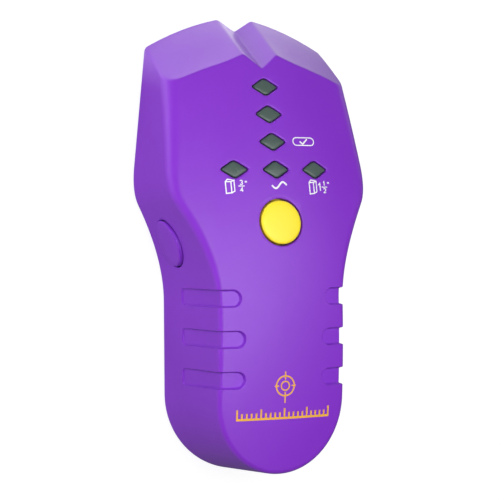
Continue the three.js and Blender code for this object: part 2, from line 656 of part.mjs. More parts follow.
// Sensor board behind the head's back wall: three copper plates and the pin header to the main board
const sensorMid = [0, (SENSOR_Y0 + SENSOR_Y1) / 2];
const sensorTop = SENSOR_Z + SENSOR_THICK;
add(
  "sensor_board",
  "board",
  roundedBox(2 * SENSOR_HALF, SENSOR_LENGTH, 2, SENSOR_Z, sensorTop, sensorMid),
);
for (const [name, x] of [["left", -13.5], ["centre", 0], ["right", 13.5]])
  add(
    "sense_plate_" + name,
    "copper",
    roundedBox(10.5, SENSOR_LENGTH - 6, 1, SENSOR_Z - 0.3, SENSOR_Z, [x, sensorMid[1]]),
  );
add("board_header", "black", box(-10, 10, BOARD_Y1 - 7, BOARD_Y1 - 4.5, sensorTop, BOARD_Z));

// Round face button with its skirt, retaining flange and stem, over a tall tactile switch
const switchTop = BOARD_TOP + SWITCH_H;
const plungerTop = switchTop + 4;
const KEY_WELL = KEY_SEATED + KEY_TRAVEL + GAP;

function tactileBody(x, y, z0) {
  const half = SWITCH_SIDE / 2;
  return box(x - half, x + half, y - half, y + half, z0, z0 + SWITCH_H);
}
add(
  "mode_switch",
  "black",
  cut(
    tactileBody(0, BUTTON_Y, BOARD_TOP),
    post(PLUNGER_R + GAP, switchTop - KEY_WELL, switchTop + 1, [0, BUTTON_Y], 20),
  ),
);
add("mode_plunger", "cream", post(PLUNGER_R, switchTop - KEY_SEATED, plungerTop, [0, BUTTON_Y], 20));

function modeButton() {
  const at = [0, BUTTON_Y];
  const flangeTop = COLLAR_Z - GAP;
  const flangeLow = flangeTop - KEY_FLANGE_THICK;
  const cap = post(BUTTON_R, flangeLow, HIGH, at, 32).intersect(body(-BUTTON_PROUD, PARTING_Z));
  return join(
    cap,
    post(BUTTON_HOLE_R + KEY_FLANGE, flangeLow, flangeTop, at, 32),
    post(KEY_STEM_R, plungerTop + GAP, flangeTop - 1, at, 20),
  );
}
add("mode_button", "yellow", modeButton());

// Oval side button: a domed cap through the wall, a flange that follows the wall, and a stem
const waistSlope = (SHOULDER_HALF - GRIP_HALF) / WAIST_FROM_SHOULDER;
const wallSlope = waistSlope * SCAN_SLOPE_SHARE;
const scanTurn = Math.atan(wallSlope);
const SWITCH_EDGE_X = -BOARD_HALF + 0.5;
const scanPlungerX = SWITCH_EDGE_X - 2.2;

function wallX(inset) {
  const row = outline(SCAN_Z, inset).filter((p) => p.x < 0);
  const near = row.reduce((a, b) => (Math.abs(b.y - SCAN_Y) < Math.abs(a.y - SCAN_Y) ? b : a));
  return near.x + (near.y - SCAN_Y) * wallSlope;
}

function scanButton() {
  const dome = new THREE.SphereGeometry(1, 28, 16);
  dome.scale(SCAN_DOME_DEPTH, SCAN_HALF_Y * SCAN_DOME_SPREAD, SCAN_HALF_Z * SCAN_DOME_SPREAD);
  dome.rotateZ(scanTurn).translate(wallX(0) - SCAN_PROUD + SCAN_DOME_DEPTH, SCAN_Y, SCAN_Z);
  const reach = -SHOULDER_HALF - 5;
  const stub = scanOval(0, reach, -GRIP_HALF / 2).intersect(
    cut(body(GAP, 1), body(WALL + 1, 0)),
  );
  const cap = toSolid(dome).intersect(scanOval(0, reach, wallX(WALL)));
  const flange = scanOval(SCAN_FLANGE, reach, -GRIP_HALF / 2).intersect(
    cut(body(WALL + GAP, 1), body(WALL + GAP + SCAN_FLANGE, 0)),
  );
  const stem = rodX(SCAN_STEM_R, wallX(WALL + 1.5), scanPlungerX - GAP, SCAN_Y, SCAN_STEM_Z);
  return join(stub, cut(cap, body(WALL, 0)), flange, stem);
}

const SCAN_STEM_Z = BOARD_TOP + SWITCH_SIDE / 2 + 0.2;
const scanBody = box(
  SWITCH_EDGE_X,
  SWITCH_EDGE_X + SWITCH_H,
  SCAN_Y - SWITCH_SIDE / 2,
  SCAN_Y + SWITCH_SIDE / 2,
  BOARD_TOP,
  BOARD_TOP + SWITCH_SIDE + 0.4,
);
add(
  "scan_switch",
  "black",
  cut(
    scanBody,
    rodX(PLUNGER_R + GAP, SWITCH_EDGE_X - 1, SWITCH_EDGE_X + KEY_WELL, SCAN_Y, SCAN_STEM_Z),
  ),
);
add(
  "scan_plunger",
  "cream",
  rodX(PLUNGER_R, scanPlungerX, SWITCH_EDGE_X + KEY_SEATED, SCAN_Y, SCAN_STEM_Z),
);
add("scan_button", "casing", scanButton());

// Four long screws that hold the two shells together, from the back
for (const [name, at] of Object.entries(HOUSING_SCREWS)) {
  const head = post(SCREW_HEAD_R, SCREW_SEAT_Z - SCREW_HEAD_H, SCREW_SEAT_Z, at);
  const shank = post(SCREW_R, SCREW_SEAT_Z - 0.5, SCREW_TIP_Z, at, 12);
  const slot = join(
    box(at[0] - 1.6, at[0] + 1.6, at[1] - 0.35, at[1] + 0.35, 0, SCREW_SEAT_Z - 0.9),
    box(at[0] - 0.35, at[0] + 0.35, at[1] - 1.6, at[1] + 1.6, 0, SCREW_SEAT_Z - 0.9),
  );
  add("housing_screw_" + name, "steel", cut(join(head, shank), slot));
}

export default part;
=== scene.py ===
import bpy
import bmesh
import numpy as np
from math import cos, hypot, pi, sin
from mathutils import Matrix, Vector


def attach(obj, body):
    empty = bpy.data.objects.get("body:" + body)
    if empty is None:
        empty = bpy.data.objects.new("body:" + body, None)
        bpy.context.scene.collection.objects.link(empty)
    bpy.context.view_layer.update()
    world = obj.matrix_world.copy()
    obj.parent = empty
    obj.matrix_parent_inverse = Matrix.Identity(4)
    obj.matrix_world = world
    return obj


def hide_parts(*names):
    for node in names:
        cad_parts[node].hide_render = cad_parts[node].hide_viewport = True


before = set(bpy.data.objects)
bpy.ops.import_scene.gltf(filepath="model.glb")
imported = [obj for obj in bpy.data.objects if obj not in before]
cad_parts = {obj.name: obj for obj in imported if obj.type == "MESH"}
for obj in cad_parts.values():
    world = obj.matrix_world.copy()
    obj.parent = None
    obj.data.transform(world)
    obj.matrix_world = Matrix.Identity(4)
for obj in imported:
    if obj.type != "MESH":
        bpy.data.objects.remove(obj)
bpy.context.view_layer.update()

MM = 0.001

# ------------
# Front casing: one injection-moulded hood of violet ABS with a satin spark-eroded skin. Its sides
# carry draft for the mould, the head is cut off by a leaning roof with a V notch for the pencil,
# and three finger grooves run over each edge of the grip.
LENGTH = 156.9
PEAK_Y = LENGTH / 2
HEEL_Y = -LENGTH / 2
THICKNESS = 40.23
PARTING_Z = 3.0
BACK_ROUND = 1.5
SHOULDER_HALF, SHOULDER_Y = 38.89, PEAK_Y - 60.1
GRIP_HALF, WAIST_Y = 27.35, SHOULDER_Y - 23
GRIP_TOP_Y, HEEL_CENTRE_Y, HEEL_ROUND = HEEL_Y + 59.2, HEEL_Y + 27.2, 27.2
HEAD_TAPER, OVERRUN = 0.103, 8.0
ROUND_UP, ROUND_DOWN = 8.75, 5.15
GRIP_DRAFT, HEAD_DRAFT, HEEL_DRAFT = 0.115, 0.05, 0.055


def lerp(a, b, t):
    return a + (b - a) * t


def bend(a, b, c, u):
    """A curve from a to c that heads for b: how every soft corner is drawn."""
    return (1 - u) ** 2 * a + 2 * u * (1 - u) * b + u * u * c


def outline(t, z, inset=0.0):
    """Right half of the plan at height z, for t from 0 at the head through 1, 2, 3, 4 to 5 at the heel."""
    t, z = np.broadcast_arrays(np.asarray(t, float), np.asarray(z, float))
    rise = z - BACK_ROUND
    lean_head = HEAD_DRAFT * rise + inset
    grip = GRIP_HALF - GRIP_DRAFT * rise - inset
    one = np.ones_like(rise)
    top_y = (PEAK_Y + OVERRUN) * one
    top_x = SHOULDER_HALF - HEAD_TAPER * (top_y - SHOULDER_Y) - lean_head
    corner = np.stack([SHOULDER_HALF - lean_head, SHOULDER_Y * one], -1)
    top = np.stack([top_x, top_y], -1)
    waist = np.stack([grip, WAIST_Y * one], -1)
    grip_top = np.stack([grip, GRIP_TOP_Y * one], -1)
    grip_end = np.stack([grip, HEEL_CENTRE_Y * one], -1)

    def towards(a, b, length):
        way = b - a
        return a + way * length / np.linalg.norm(way, axis=-1, keepdims=True)

    start = towards(corner, top, ROUND_UP)
    end = towards(corner, waist, ROUND_DOWN)
    which = np.clip(np.floor(t), 0, 4)[..., None]
    u = t[..., None] - which
    turn = u[..., 0] * pi / 2
    heel_y = HEEL_ROUND - HEEL_DRAFT * rise - inset
    oval = np.stack([grip * np.cos(turn), HEEL_CENTRE_Y - heel_y * np.sin(turn)], -1)
    stretches = [
        lerp(top, start, u),
        bend(start, corner, end, u),
        bend(end, waist, grip_top, u),
        lerp(grip_top, grip_end, u),
        oval,
    ]
    return sum(np.where(which == k, s, 0.0) for k, s in enumerate(stretches))


CREST = np.array([GRIP_TOP_Y - 8, THICKNESS])
RAMP_END = np.array([PEAK_Y - 15.7, THICKNESS - 17.4])
RAMP_SLOPE, FACE_CROWN, HEEL_DROP, CREST_PULL, RAMP_PULL = 0.33, 0.004, 4.9, 35, 30
ramp_u = np.linspace(0, 1, 801)[:, None]
ramp_line = (
    (1 - ramp_u) ** 3 * CREST
    + 3 * ramp_u * (1 - ramp_u) ** 2 * (CREST + [CREST_PULL, 0])
    + 3 * ramp_u**2 * (1 - ramp_u) * (RAMP_END + [-RAMP_PULL, RAMP_PULL * RAMP_SLOPE])
    + ramp_u**3 * RAMP_END
)


def face_z(x, y):
    z = np.interp(y, ramp_line[:, 0], ramp_line[:, 1])
    z = np.where(y > RAMP_END[0], RAMP_END[1] - RAMP_SLOPE * (y - RAMP_END[0]), z)
    heel = THICKNESS - HEEL_DROP * ((CREST[0] - y) / (CREST[0] - HEEL_Y)) ** 2
    return np.where(y < CREST[0], heel, z) - FACE_CROWN * x * x


GRIP_EDGE, HEAD_EDGE, EDGE_GROWTH = 1.5, 5.4, 0.05


def edge_radius(y):
    return np.clip(GRIP_EDGE + EDGE_GROWTH * (y - GRIP_TOP_Y), GRIP_EDGE, HEAD_EDGE)


ROOF_LEAN, NOTCH_HALF, NOTCH_DEPTH = 0.66, 6.4, 4.1
ROOF_SLOPE, ROOF_CURVE = 0.13, 0.0065
CREASE_DIP, DIP_FROM_Z, DIP_CLIMB = 1.2, 4, 18
DIP_FROM_X, DIP_SPREAD, DIP_EASE, EASE_FROM_X, EASE_SPREAD = 5.5, 11, 0.35, 17, 12
VALLEY_ROUND, EDGE_BLEND, EDGE_SINK = 0.12, 0.8, 0.2


def roof_y(x, z, inset=0.0):
    """The roof over the head at x and z: two wings that fall away sideways, and the V notch between."""
    drop = inset * hypot(1, ROOF_LEAN)
    fall = NOTCH_DEPTH / NOTCH_HALF
    away = np.sqrt(x * x + VALLEY_ROUND)
    at_peak = PEAK_Y + ROOF_SLOPE * NOTCH_HALF + ROOF_CURVE * NOTCH_HALF**2
    wing = at_peak - ROOF_SLOPE * away - ROOF_CURVE * away**2 - drop
    notch = PEAK_Y - NOTCH_DEPTH + fall * away - drop * hypot(1, fall)
    level = np.clip((z - DIP_FROM_Z) / DIP_CLIMB, 0, 1)
    dip = np.clip((away - DIP_FROM_X) / DIP_SPREAD, 0, 1)
    dip = dip - DIP_EASE * np.clip((away - EASE_FROM_X) / EASE_SPREAD, 0, 1)
    wing = wing - CREASE_DIP * dip * (2 - dip) * level * level * (3 - 2 * level)
    blend = np.clip(1 - np.abs(wing - notch) / EDGE_BLEND, 0, 1)
    return np.minimum(wing, notch) - EDGE_SINK * blend**2 - ROOF_LEAN * (z - BACK_ROUND)


def strip(t, inset, share, turn, across, low_z):
    """Points of the drafted skin at outline station t: share climbs the side from 0 to 1, turn rounds the
    edge from 0 to a right angle, and across runs over the face from the edge to the middle line."""
    base = outline(t, 0.0, inset)
    lean = outline(t, 1.0, inset) - base
    z = np.full(np.shape(t), 30.0)
    for _ in range(14):
        p = base + lean * z[..., None]
        z = face_z(p[..., 0], p[..., 1]) - inset
    rim = base + lean * z[..., None]
    radius = np.maximum(edge_radius(rim[..., 1]) - inset, 0.5)
    step = 1e-3
    along = outline(np.minimum(t + step, 5), z, inset) - outline(np.maximum(t - step, 0), z, inset)
    along = along / np.linalg.norm(along, axis=-1, keepdims=True)
    inwards = np.stack([along[..., 1], -along[..., 0]], -1)
    inner = rim + inwards * radius[..., None]
    inner[..., 0] = np.maximum(inner[..., 0], 0)
    high = z - radius
    below = base + lean * high[..., None]
    start = np.concatenate([below, high[..., None]], -1)
    corner = np.concatenate([rim, z[..., None]], -1)
    end = np.concatenate([inner, (face_z(inner[..., 0], inner[..., 1]) - inset)[..., None]], -1)
    foot = base + lean * low_z
    low = np.concatenate([foot, np.full_like(high, low_z)[..., None]], -1)
    side = lerp(low, start, share[..., None])
    centre = start + end - corner
    edge = centre + (corner - end) * np.cos(turn)[..., None] + (corner - start) * np.sin(turn)[..., None]
    x = inner[..., 0] * (1 - across)
    top = np.stack([x, inner[..., 1], face_z(x, inner[..., 1]) - inset], -1)
    out = np.where((turn > 0)[..., None], edge, side)
    return np.where((across > 0)[..., None], top, out)


scene = bpy.context.scene


def mesh_object(name, points, faces):
    mesh = bpy.data.meshes.new(name)
    mesh.from_pydata([tuple(map(float, p)) for p in points], [], [tuple(map(int, f)) for f in faces])
    made = bpy.data.objects.new(name, mesh)
    scene.collection.objects.link(made)
    return made


def clean(obj, merge=1e-6):
    """Welds what touches and turns every face outwards."""
    bm = bmesh.new()
    bm.from_mesh(obj.data)
    bmesh.ops.remove_doubles(bm, verts=bm.verts, dist=merge)
    bmesh.ops.dissolve_degenerate(bm, edges=bm.edges, dist=merge)
    bmesh.ops.recalc_face_normals(bm, faces=bm.faces)
    if bm.calc_volume(signed=True) < 0:
        bmesh.ops.reverse_faces(bm, faces=bm.faces)
    bm.to_mesh(obj.data)
    bm.free()
    return obj


GROOVE_Y = [HEEL_Y + 34.1 + k * 13.5 for k in range(3)]
GROOVE_END = [14.3, 14.3, 15.6]
GROOVE_HALF, GROOVE_DEPTH, GROOVE_LOW, GROOVE_CORNER = 2.8, 1.3, 13.5, 1.7
GROOVE_WALL, WALL_OUT, GROOVE_RUN_OUT, RUN_OUT_SHARE = 0.5, 0.18, 13, 0.4


def groove_depth(p):
    """How far the finger grooves lower each point: soft steep walls, and a floor that runs out downwards."""
    depth = np.zeros(p.shape[:-1])
    for y, end in zip(GROOVE_Y, GROOVE_END):
        aside = np.abs(p[..., 1] - y)
        inner = np.hypot(np.maximum(end + GROOVE_HALF - np.abs(p[..., 0]), 0), aside) - GROOVE_HALF
        qx = aside - GROOVE_HALF + GROOVE_CORNER
        qz = GROOVE_LOW + GROOVE_CORNER - p[..., 2]
        corner = np.hypot(np.maximum(qx, 0), np.maximum(qz, 0)) - GROOVE_CORNER
        low = corner + np.minimum(np.maximum(qx, qz), 0)
        u = np.clip((WALL_OUT - np.maximum(inner, low)) / GROOVE_WALL, 0, 1)
        climb = np.clip((p[..., 2] - GROOVE_LOW) / GROOVE_RUN_OUT, 0, 1)
        floor_depth = GROOVE_DEPTH * lerp(RUN_OUT_SHARE, 1, climb)
        depth = np.maximum(depth, floor_depth * u * u * (3 - 2 * u))
    return depth


CREASE_SOFT, CORNER_SOFT, INNER_SOFT, CREASE_DROP = 0.5, 1.15, 0.3, 0.83
GROOVE_ROWS, GRIP_ROWS, GROOVE_CLEAR = 0.2, 0.95, 4.2


def skin_pattern(fine):
    """How finely the hood's skin is laid out: up the side, round the edge and over the face, and the rows
    of stations from the shoulder to the heel."""
    if not fine:
        across = 1 - np.array([0.9, 0.7, 0.5, 0.34, 0.23, 0.12, 0])
        stations = np.r_[np.linspace(1, 1.6, 5), np.linspace(1.8, 4, 16), np.linspace(4, 5, 15)[1:]]
        return np.linspace(0, 0.9, 7), np.linspace(0, pi / 2, 4), across, 10, stations
    shares = np.r_[np.linspace(0, 0.27, 8), np.linspace(0.285, 0.375, 19), np.linspace(0.4, 0.96, 16)]
    middle = [0, 0.012, 0.025, 0.045, 0.08, 0.12, 0.16, 0.195, 0.215, 0.23, 0.245, 0.265, 0.3]
    across = 1 - np.r_[np.linspace(0.985, 0.85, 6), np.linspace(0.835, 0.63, 16),
                       np.linspace(0.6, 0.33, 9), middle[::-1]]
    reach = GROOVE_HALF + 0.6
    grip = np.concatenate([np.arange(y - reach, y + reach + 0.01, GROOVE_ROWS) for y in GROOVE_Y])
    fill = np.arange(HEEL_CENTRE_Y + 0.25, 10, GRIP_ROWS)
    clear = np.abs(fill[:, None] - np.array(GROOVE_Y)).min(1) > GROOVE_CLEAR
    wanted = np.sort(np.r_[grip, fill[clear]])[::-1]
    table = np.linspace(1, 4, 3001)
    rows = np.interp(-wanted, -outline(table, 0.0)[:, 1], table)
    stations = np.r_[np.linspace(1, rows[0], 12)[:-1], rows, np.linspace(4, 5, 41)[1:]]
    return shares, np.linspace(0, pi / 2, 9), across, 32, stations


def roof_patch(loop, corner_at, inset):
    """The roof as a grid of points inside the skin's upper end, stretched to its leaning corners."""
    count = len(loop)
    right = loop[count - 1 - corner_at:][::-1]
    top = loop[corner_at: count - corner_at]
    left = loop[: corner_at + 1]
    notch_zone = 9
    foot_x = top[:, 0].copy()
    far = np.abs(foot_x) > notch_zone
    stretch = (np.abs(left[0, 0]) - notch_zone) / (np.abs(top[0, 0]) - notch_zone)
    foot_x[far] = np.sign(foot_x[far]) * (notch_zone + (np.abs(foot_x[far]) - notch_zone) * stretch)
    v = ((left[:, 2] - left[0, 2]) / (left[-1, 2] - left[0, 2]))[:, None]
    z = lerp(np.full((1, len(top)), left[0, 2]), top[None, :, 2], v)
    pull = np.clip((-notch_zone - foot_x) / (-notch_zone - foot_x[0]), 0, 1)[None, :]
    lean = left[:, 0][:, None] - lerp(foot_x[0], top[0, 0], v)
    x = lerp(foot_x[None, :], top[None, :, 0], v) + pull * lean - pull[:, ::-1] * lean
    patch = np.stack([x, roof_y(x, z, inset), z], -1)
    patch[:, 0], patch[:, -1], patch[-1] = left, right, top
    return patch


def lower(body):
    """Sinks the finger grooves into the skin along its normals."""
    n = np.cross(np.gradient(body, axis=0), np.gradient(body, axis=1))
    n /= np.maximum(np.linalg.norm(n, axis=-1, keepdims=True), 1e-12)
    n[n[..., 2] < -0.05] *= -1
    out = np.sign((n * body).sum(-1, keepdims=True))
    return body - n * out * groove_depth(body)[..., None]


def hood(name, inset, fine, low_z=PARTING_Z):
    """The hood as one closed solid, level at the parting line: skin strips, rounded crease and roof."""
    shares, turns, acrosses, head_rows, stations = skin_pattern(fine)
    share = np.r_[shares, np.ones(len(turns) + len(acrosses))]
    turn = np.r_[np.zeros(len(shares)), turns, np.zeros(len(acrosses))]
    turn[len(shares)] = 1e-9
    across = np.r_[np.zeros(len(shares) + len(turns)), acrosses]
    columns = len(share)

    def row(t):
        return strip(t * np.ones(columns), inset, share, turn, across, low_z)

    low_t, high_t = np.zeros(columns), np.ones(columns)
    for _ in range(34):
        mid = (low_t + high_t) / 2
        p = row(mid)
        outside = p[:, 1] > roof_y(p[:, 0], p[:, 2], inset)
        low_t, high_t = np.where(outside, mid, low_t), np.where(outside, high_t, mid)
    crease = row(high_t)
    rounded = lerp(CORNER_SOFT, CREASE_SOFT, turn / (pi / 2))
    soft = np.where(across > 0, CREASE_SOFT, rounded) if fine else INNER_SOFT * np.ones(columns)
    start_t = high_t + soft / (PEAK_Y + OVERRUN - SHOULDER_Y - ROUND_UP)
    head = [lerp(start_t, 1, s) for s in np.linspace(0, 1, head_rows + 1)[:-1]]
    grid = np.array([row(t) for t in [*head, *stations]])
    climb = np.where(across > 0, pi / 2, turn)
    into_x = crease[:, 0] - np.cos(climb) * soft
    into_z = crease[:, 2] - np.sin(climb) * soft * CREASE_DROP
    landed = np.stack([into_x, roof_y(into_x, into_z, inset), into_z], -1)
    rounds = [bend(grid[0], crease, landed, u) for u in (np.linspace(1, 0, 7)[:-1] if fine else [1.0])]
    body = np.concatenate([np.array(rounds), grid])
    if fine:
        body = lower(body)
    body[:, -1, 0] = 0
    full = np.concatenate([body * [-1, 1, 1], body[:, ::-1][:, 1:]], axis=1)
    patch = roof_patch(full[0], len(shares) + len(turns) // 2, inset)
    points = np.concatenate([full.reshape(-1, 3), patch.reshape(-1, 3)])
    quads = []
    start = 0
    for sheet in (full, patch):
        g = start + np.arange(sheet.shape[0] * sheet.shape[1]).reshape(sheet.shape[:2])
        quads.append(np.stack([g[:-1, :-1], g[1:, :-1], g[1:, 1:], g[:-1, 1:]], -1).reshape(-1, 4))
        start += g.size
    made = mesh_object(name, points * MM, np.concatenate(quads))
    bm = bmesh.new()
    bm.from_mesh(made.data)
    bmesh.ops.remove_doubles(bm, verts=bm.verts, dist=2e-6)
    rim = [e for e in bm.edges if e.is_boundary]
    bmesh.ops.contextual_create(bm, geom=rim)
    bmesh.ops.triangulate(bm, faces=[f for f in bm.faces if len(f.verts) > 4])
    bm.to_mesh(made.data)
    bm.free()
    return clean(made)


def bake(obj):
    """Keeps what an object's modifiers make of it as its own plain mesh."""
    shaped = bpy.data.meshes.new_from_object(obj.evaluated_get(bpy.context.evaluated_depsgraph_get()))
    obj.modifiers.clear()
    old = obj.data
    obj.data = shaped
    bpy.data.meshes.remove(old)


def carve(obj, how, tools):
    """Joins other solids to a solid, or cuts them out of it, and removes them."""
    for tool in tools:
        step = obj.modifiers.new("carve", "BOOLEAN")
        step.operation, step.object, step.solver = how, tool, "MANIFOLD"
    bake(obj)
    for tool in tools:
        bpy.data.objects.remove(tool)


def stack(name, loops):
    """A closed solid from rings of points in mm, lowest first, each ring the same way round."""
    count = len(loops[0])
    last = (len(loops) - 1) * count
    quads = []
    for k in range(0, last, count):
        for i in range(count):
            j = (i + 1) % count
            quads.append((k + i, k + j, k + count + j, k + count + i))
    quads += [tuple(range(count))[::-1], tuple(range(last, last + count))]
    return clean(mesh_object(name, np.concatenate(loops) * MM, quads))


def ring(r, z, x, y, sides):
    turn = np.arange(sides) * 2 * pi / sides
    return np.stack([x + r * np.cos(turn), y + r * np.sin(turn), np.full(sides, z)], -1)


def turned(name, profile, x, y, sides):
    """A turned solid from pairs of radius and height, lowest first."""
    return stack(name, [ring(r, z, x, y, sides) for r, z in profile])


def rod(name, r, z0, z1, x, y, sides):
    return turned(name, [(r, z0), (r, z1)], x, y, sides)


def block(name, x0, x1, y0, y1, z0, z1):
    loop = [(x0, y0), (x1, y0), (x1, y1), (x0, y1)]
    return stack(name, [np.array([(x, y, z) for x, y in loop], float) for z in (z0, z1)])


def shade(obj, angle):
    """Smooth shading with creases kept above the angle."""
    with bpy.context.temp_override(object=obj, active_object=obj, selected_objects=[obj],
                                   selected_editable_objects=[obj]):
        bpy.ops.object.shade_smooth_by_angle(angle=angle * pi / 180)


LENS_HALF, LENS_ROW_Y, PITCH_X, PITCH_Y = (4.9, 3.0), PEAK_Y - 53.25, 14.9, 9.4
LENSES = {"top": (0, LENS_ROW_Y + 3 * PITCH_Y), "middle": (0, LENS_ROW_Y + 2 * PITCH_Y),
          "ready": (0, LENS_ROW_Y + PITCH_Y), "left": (-PITCH_X, LENS_ROW_Y),
          "centre": (0, LENS_ROW_Y), "right": (PITCH_X, LENS_ROW_Y)}
DIAMOND_GROWTH, STRAIGHT_END, BEND_START = (1.6, 1.1), 0.75, 0.79


def diamond(at, grow, out=0.0):
    """Rounded diamond in the plan, grown in its own shape and then offset along its normals."""
    hx, hy = [half + grow * share for half, share in zip(LENS_HALF, DIAMOND_GROWTH)]
    corners = np.array([(hx, 0), (0, hy), (-hx, 0), (0, -hy)])
    points, normals = [], []
    for k in range(4):
        here, after, later = corners[k], corners[(k + 1) % 4], corners[(k + 2) % 4]
        edges = [after - here, later - after]
        n0, n1 = [np.array([e[1], -e[0]]) / np.linalg.norm(e) for e in edges]
        for u in np.linspace(1 - STRAIGHT_END, STRAIGHT_END, 7):
            points.append(lerp(here, after, u))
            normals.append(n0)
        a, c = lerp(here, after, BEND_START), lerp(after, later, 1 - BEND_START)
        for u in np.linspace(0, 1, 7):
            points.append(bend(a, after, c, u))
            n = lerp(n0, n1, u)
            normals.append(n / np.linalg.norm(n))
    return np.array(points) + np.array(normals) * out + np.array(at)


def on_face(plan, lift):
    return np.concatenate([plan, (face_z(plan[:, 0], plan[:, 1]) + lift)[:, None]], 1)


def side_x(y, z):
    """Half width of the drafted side at y and height z."""
    table = np.linspace(0, 4.9, 1200)
    half = []
    for yy, zz in zip(np.ravel(y), np.ravel(z)):
        line = outline(table, zz)
        half.append(np.interp(-yy, -line[:, 1], line[:, 0]))
    return np.reshape(half, np.shape(y))


SCAN_Y, SCAN_Z, SCAN_HALF, SCAN_SIDES = PEAK_Y - 77.8, 13.5, (7.7, 6.4), 72
SCAN_TURN = np.arange(SCAN_SIDES) * 2 * pi / SCAN_SIDES


def scan_loop(share, out, lift):
    """Oval ring on the left wall: share of the button's own oval, offset by out, lifted off the wall."""
    y = SCAN_Y + (SCAN_HALF[0] * share + out) * np.cos(SCAN_TURN)
    z = SCAN_Z + (SCAN_HALF[1] * share + out) * np.sin(SCAN_TURN)
    return np.stack([-side_x(y, z) - lift, y, z], -1)


BUTTON_Y, BUTTON_R, BUTTON_HOLE_R, BUTTON_SIDES = PEAK_Y - 70.85, 7.3, 7.9, 96


def key_loop(r, lift):
    """Ring round the face button's axis, lifted off the face."""
    return on_face(ring(r, 0, 0, BUTTON_Y, BUTTON_SIDES)[:, :2], lift)


WINDOW_GAP, SCAN_GAP, CUT_DEPTH = 0.3, 0.4, 6
# How the mouth of a hole is eased: its offset outwards, and the height over the face or the wall
EASED = [(0.0, -0.42), (0.04, -0.24), (0.13, -0.1), (0.28, -0.015), (0.5, 0.06), (0.62, 0.5)]
SUNK_AND_EASED = [(0, -CUT_DEPTH)] + EASED
WALL, BOARD_TOP, COLLAR_WALL, COLLAR_HEIGHT, BOSS_R, PILOT_R = 2.4, 13.6, 1.5, 3.4, 3.1, 1.6
HOUSING_SCREWS = [(-25.5, 47.95), (25.5, 47.95), (-18.95, HEEL_CENTRE_Y), (18.95, HEEL_CENTRE_Y)]
BOARD_SCREWS = [(x, y) for y in (53.45, -8.05) for x in (-17.5, 17.5)]
front = hood("front_casing", 0.0, True)
carve(front, "DIFFERENCE", [hood("cavity", WALL, False, PARTING_Z - 1)])
posts, holes = [], []
for places, boss_r, foot_z, into_wall, pilot_r, pilot_end, sides in [
    (HOUSING_SCREWS, BOSS_R, 6, 1.6, PILOT_R, 16.4, (24, 16)),
    (BOARD_SCREWS, 2.4, BOARD_TOP, 1.4, 1.2, 19, (20, 12)),
]:
    for x, y in places:
        posts.append(rod("boss", boss_r, foot_z, float(face_z(x, y)) - into_wall, x, y, sides[0]))
        holes.append(rod("pilot", pilot_r, foot_z - 1, pilot_end, x, y, sides[1]))
collar_z = float(face_z(0, BUTTON_Y)) - WALL - COLLAR_HEIGHT
collar_r, collar_top = BUTTON_HOLE_R + COLLAR_WALL, collar_z + COLLAR_HEIGHT + 1
posts.append(rod("collar", collar_r, collar_z, collar_top, 0, BUTTON_Y, 64))
carve(front, "UNION", posts)
for at in LENSES.values():
    window = [on_face(diamond(at, WINDOW_GAP, out), lift) for out, lift in SUNK_AND_EASED]
    holes.append(stack("window", window))
key_hole = [ring(BUTTON_HOLE_R, collar_z - 1, 0, BUTTON_Y, BUTTON_SIDES)]
holes.append(stack("key_hole", key_hole + [key_loop(BUTTON_HOLE_R + out, lift) for out, lift in EASED]))
holes.append(stack("scan_hole", [scan_loop(1, SCAN_GAP + out, lift) for out, lift in SUNK_AND_EASED]))
carve(front, "DIFFERENCE", holes)
shade(front, 32)
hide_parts("front_shell")
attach(front, "housing")


class Sum:
    """One output of a node tree, so that an expression adds its own Math nodes."""

    def __init__(self, nodes, socket):
        self.nodes, self.socket = nodes, socket

    def math(self, operation, other):
        return self.nodes.node("ShaderNodeMath", {"operation": operation}, {0: self, 1: other})

    def __add__(self, other):
        return self.math("ADD", other)

    def __sub__(self, other):
        return self.math("SUBTRACT", other)

    def __rsub__(self, other):
        return self.nodes.node("ShaderNodeMath", {"operation": "SUBTRACT"}, {0: other, 1: self})

    def __mul__(self, other):
        return self.math("MULTIPLY", other)

    __radd__, __rmul__ = __add__, __mul__


class Nodes:
    """A node tree whose nodes are all added by node(): a list of values feeds one socket in turn."""

    def __init__(self, tree):
        self.tree = tree

    def node(self, kind, settings, values, out=0):
        made = self.tree.nodes.new(kind)
        for key, value in settings.items():
            setattr(made, key, value)
        for key, value in values.items():
            for each in value if isinstance(value, list) else [value]:
                if isinstance(each, Sum):
                    self.tree.links.new(each.socket, made.inputs[key])
                else:
                    made.inputs[key].default_value = each
        return Sum(self, made.outputs[out])

    def show(self, surface, end):
        self.tree.links.new(surface.socket, self.tree.nodes[end].inputs["Surface"])


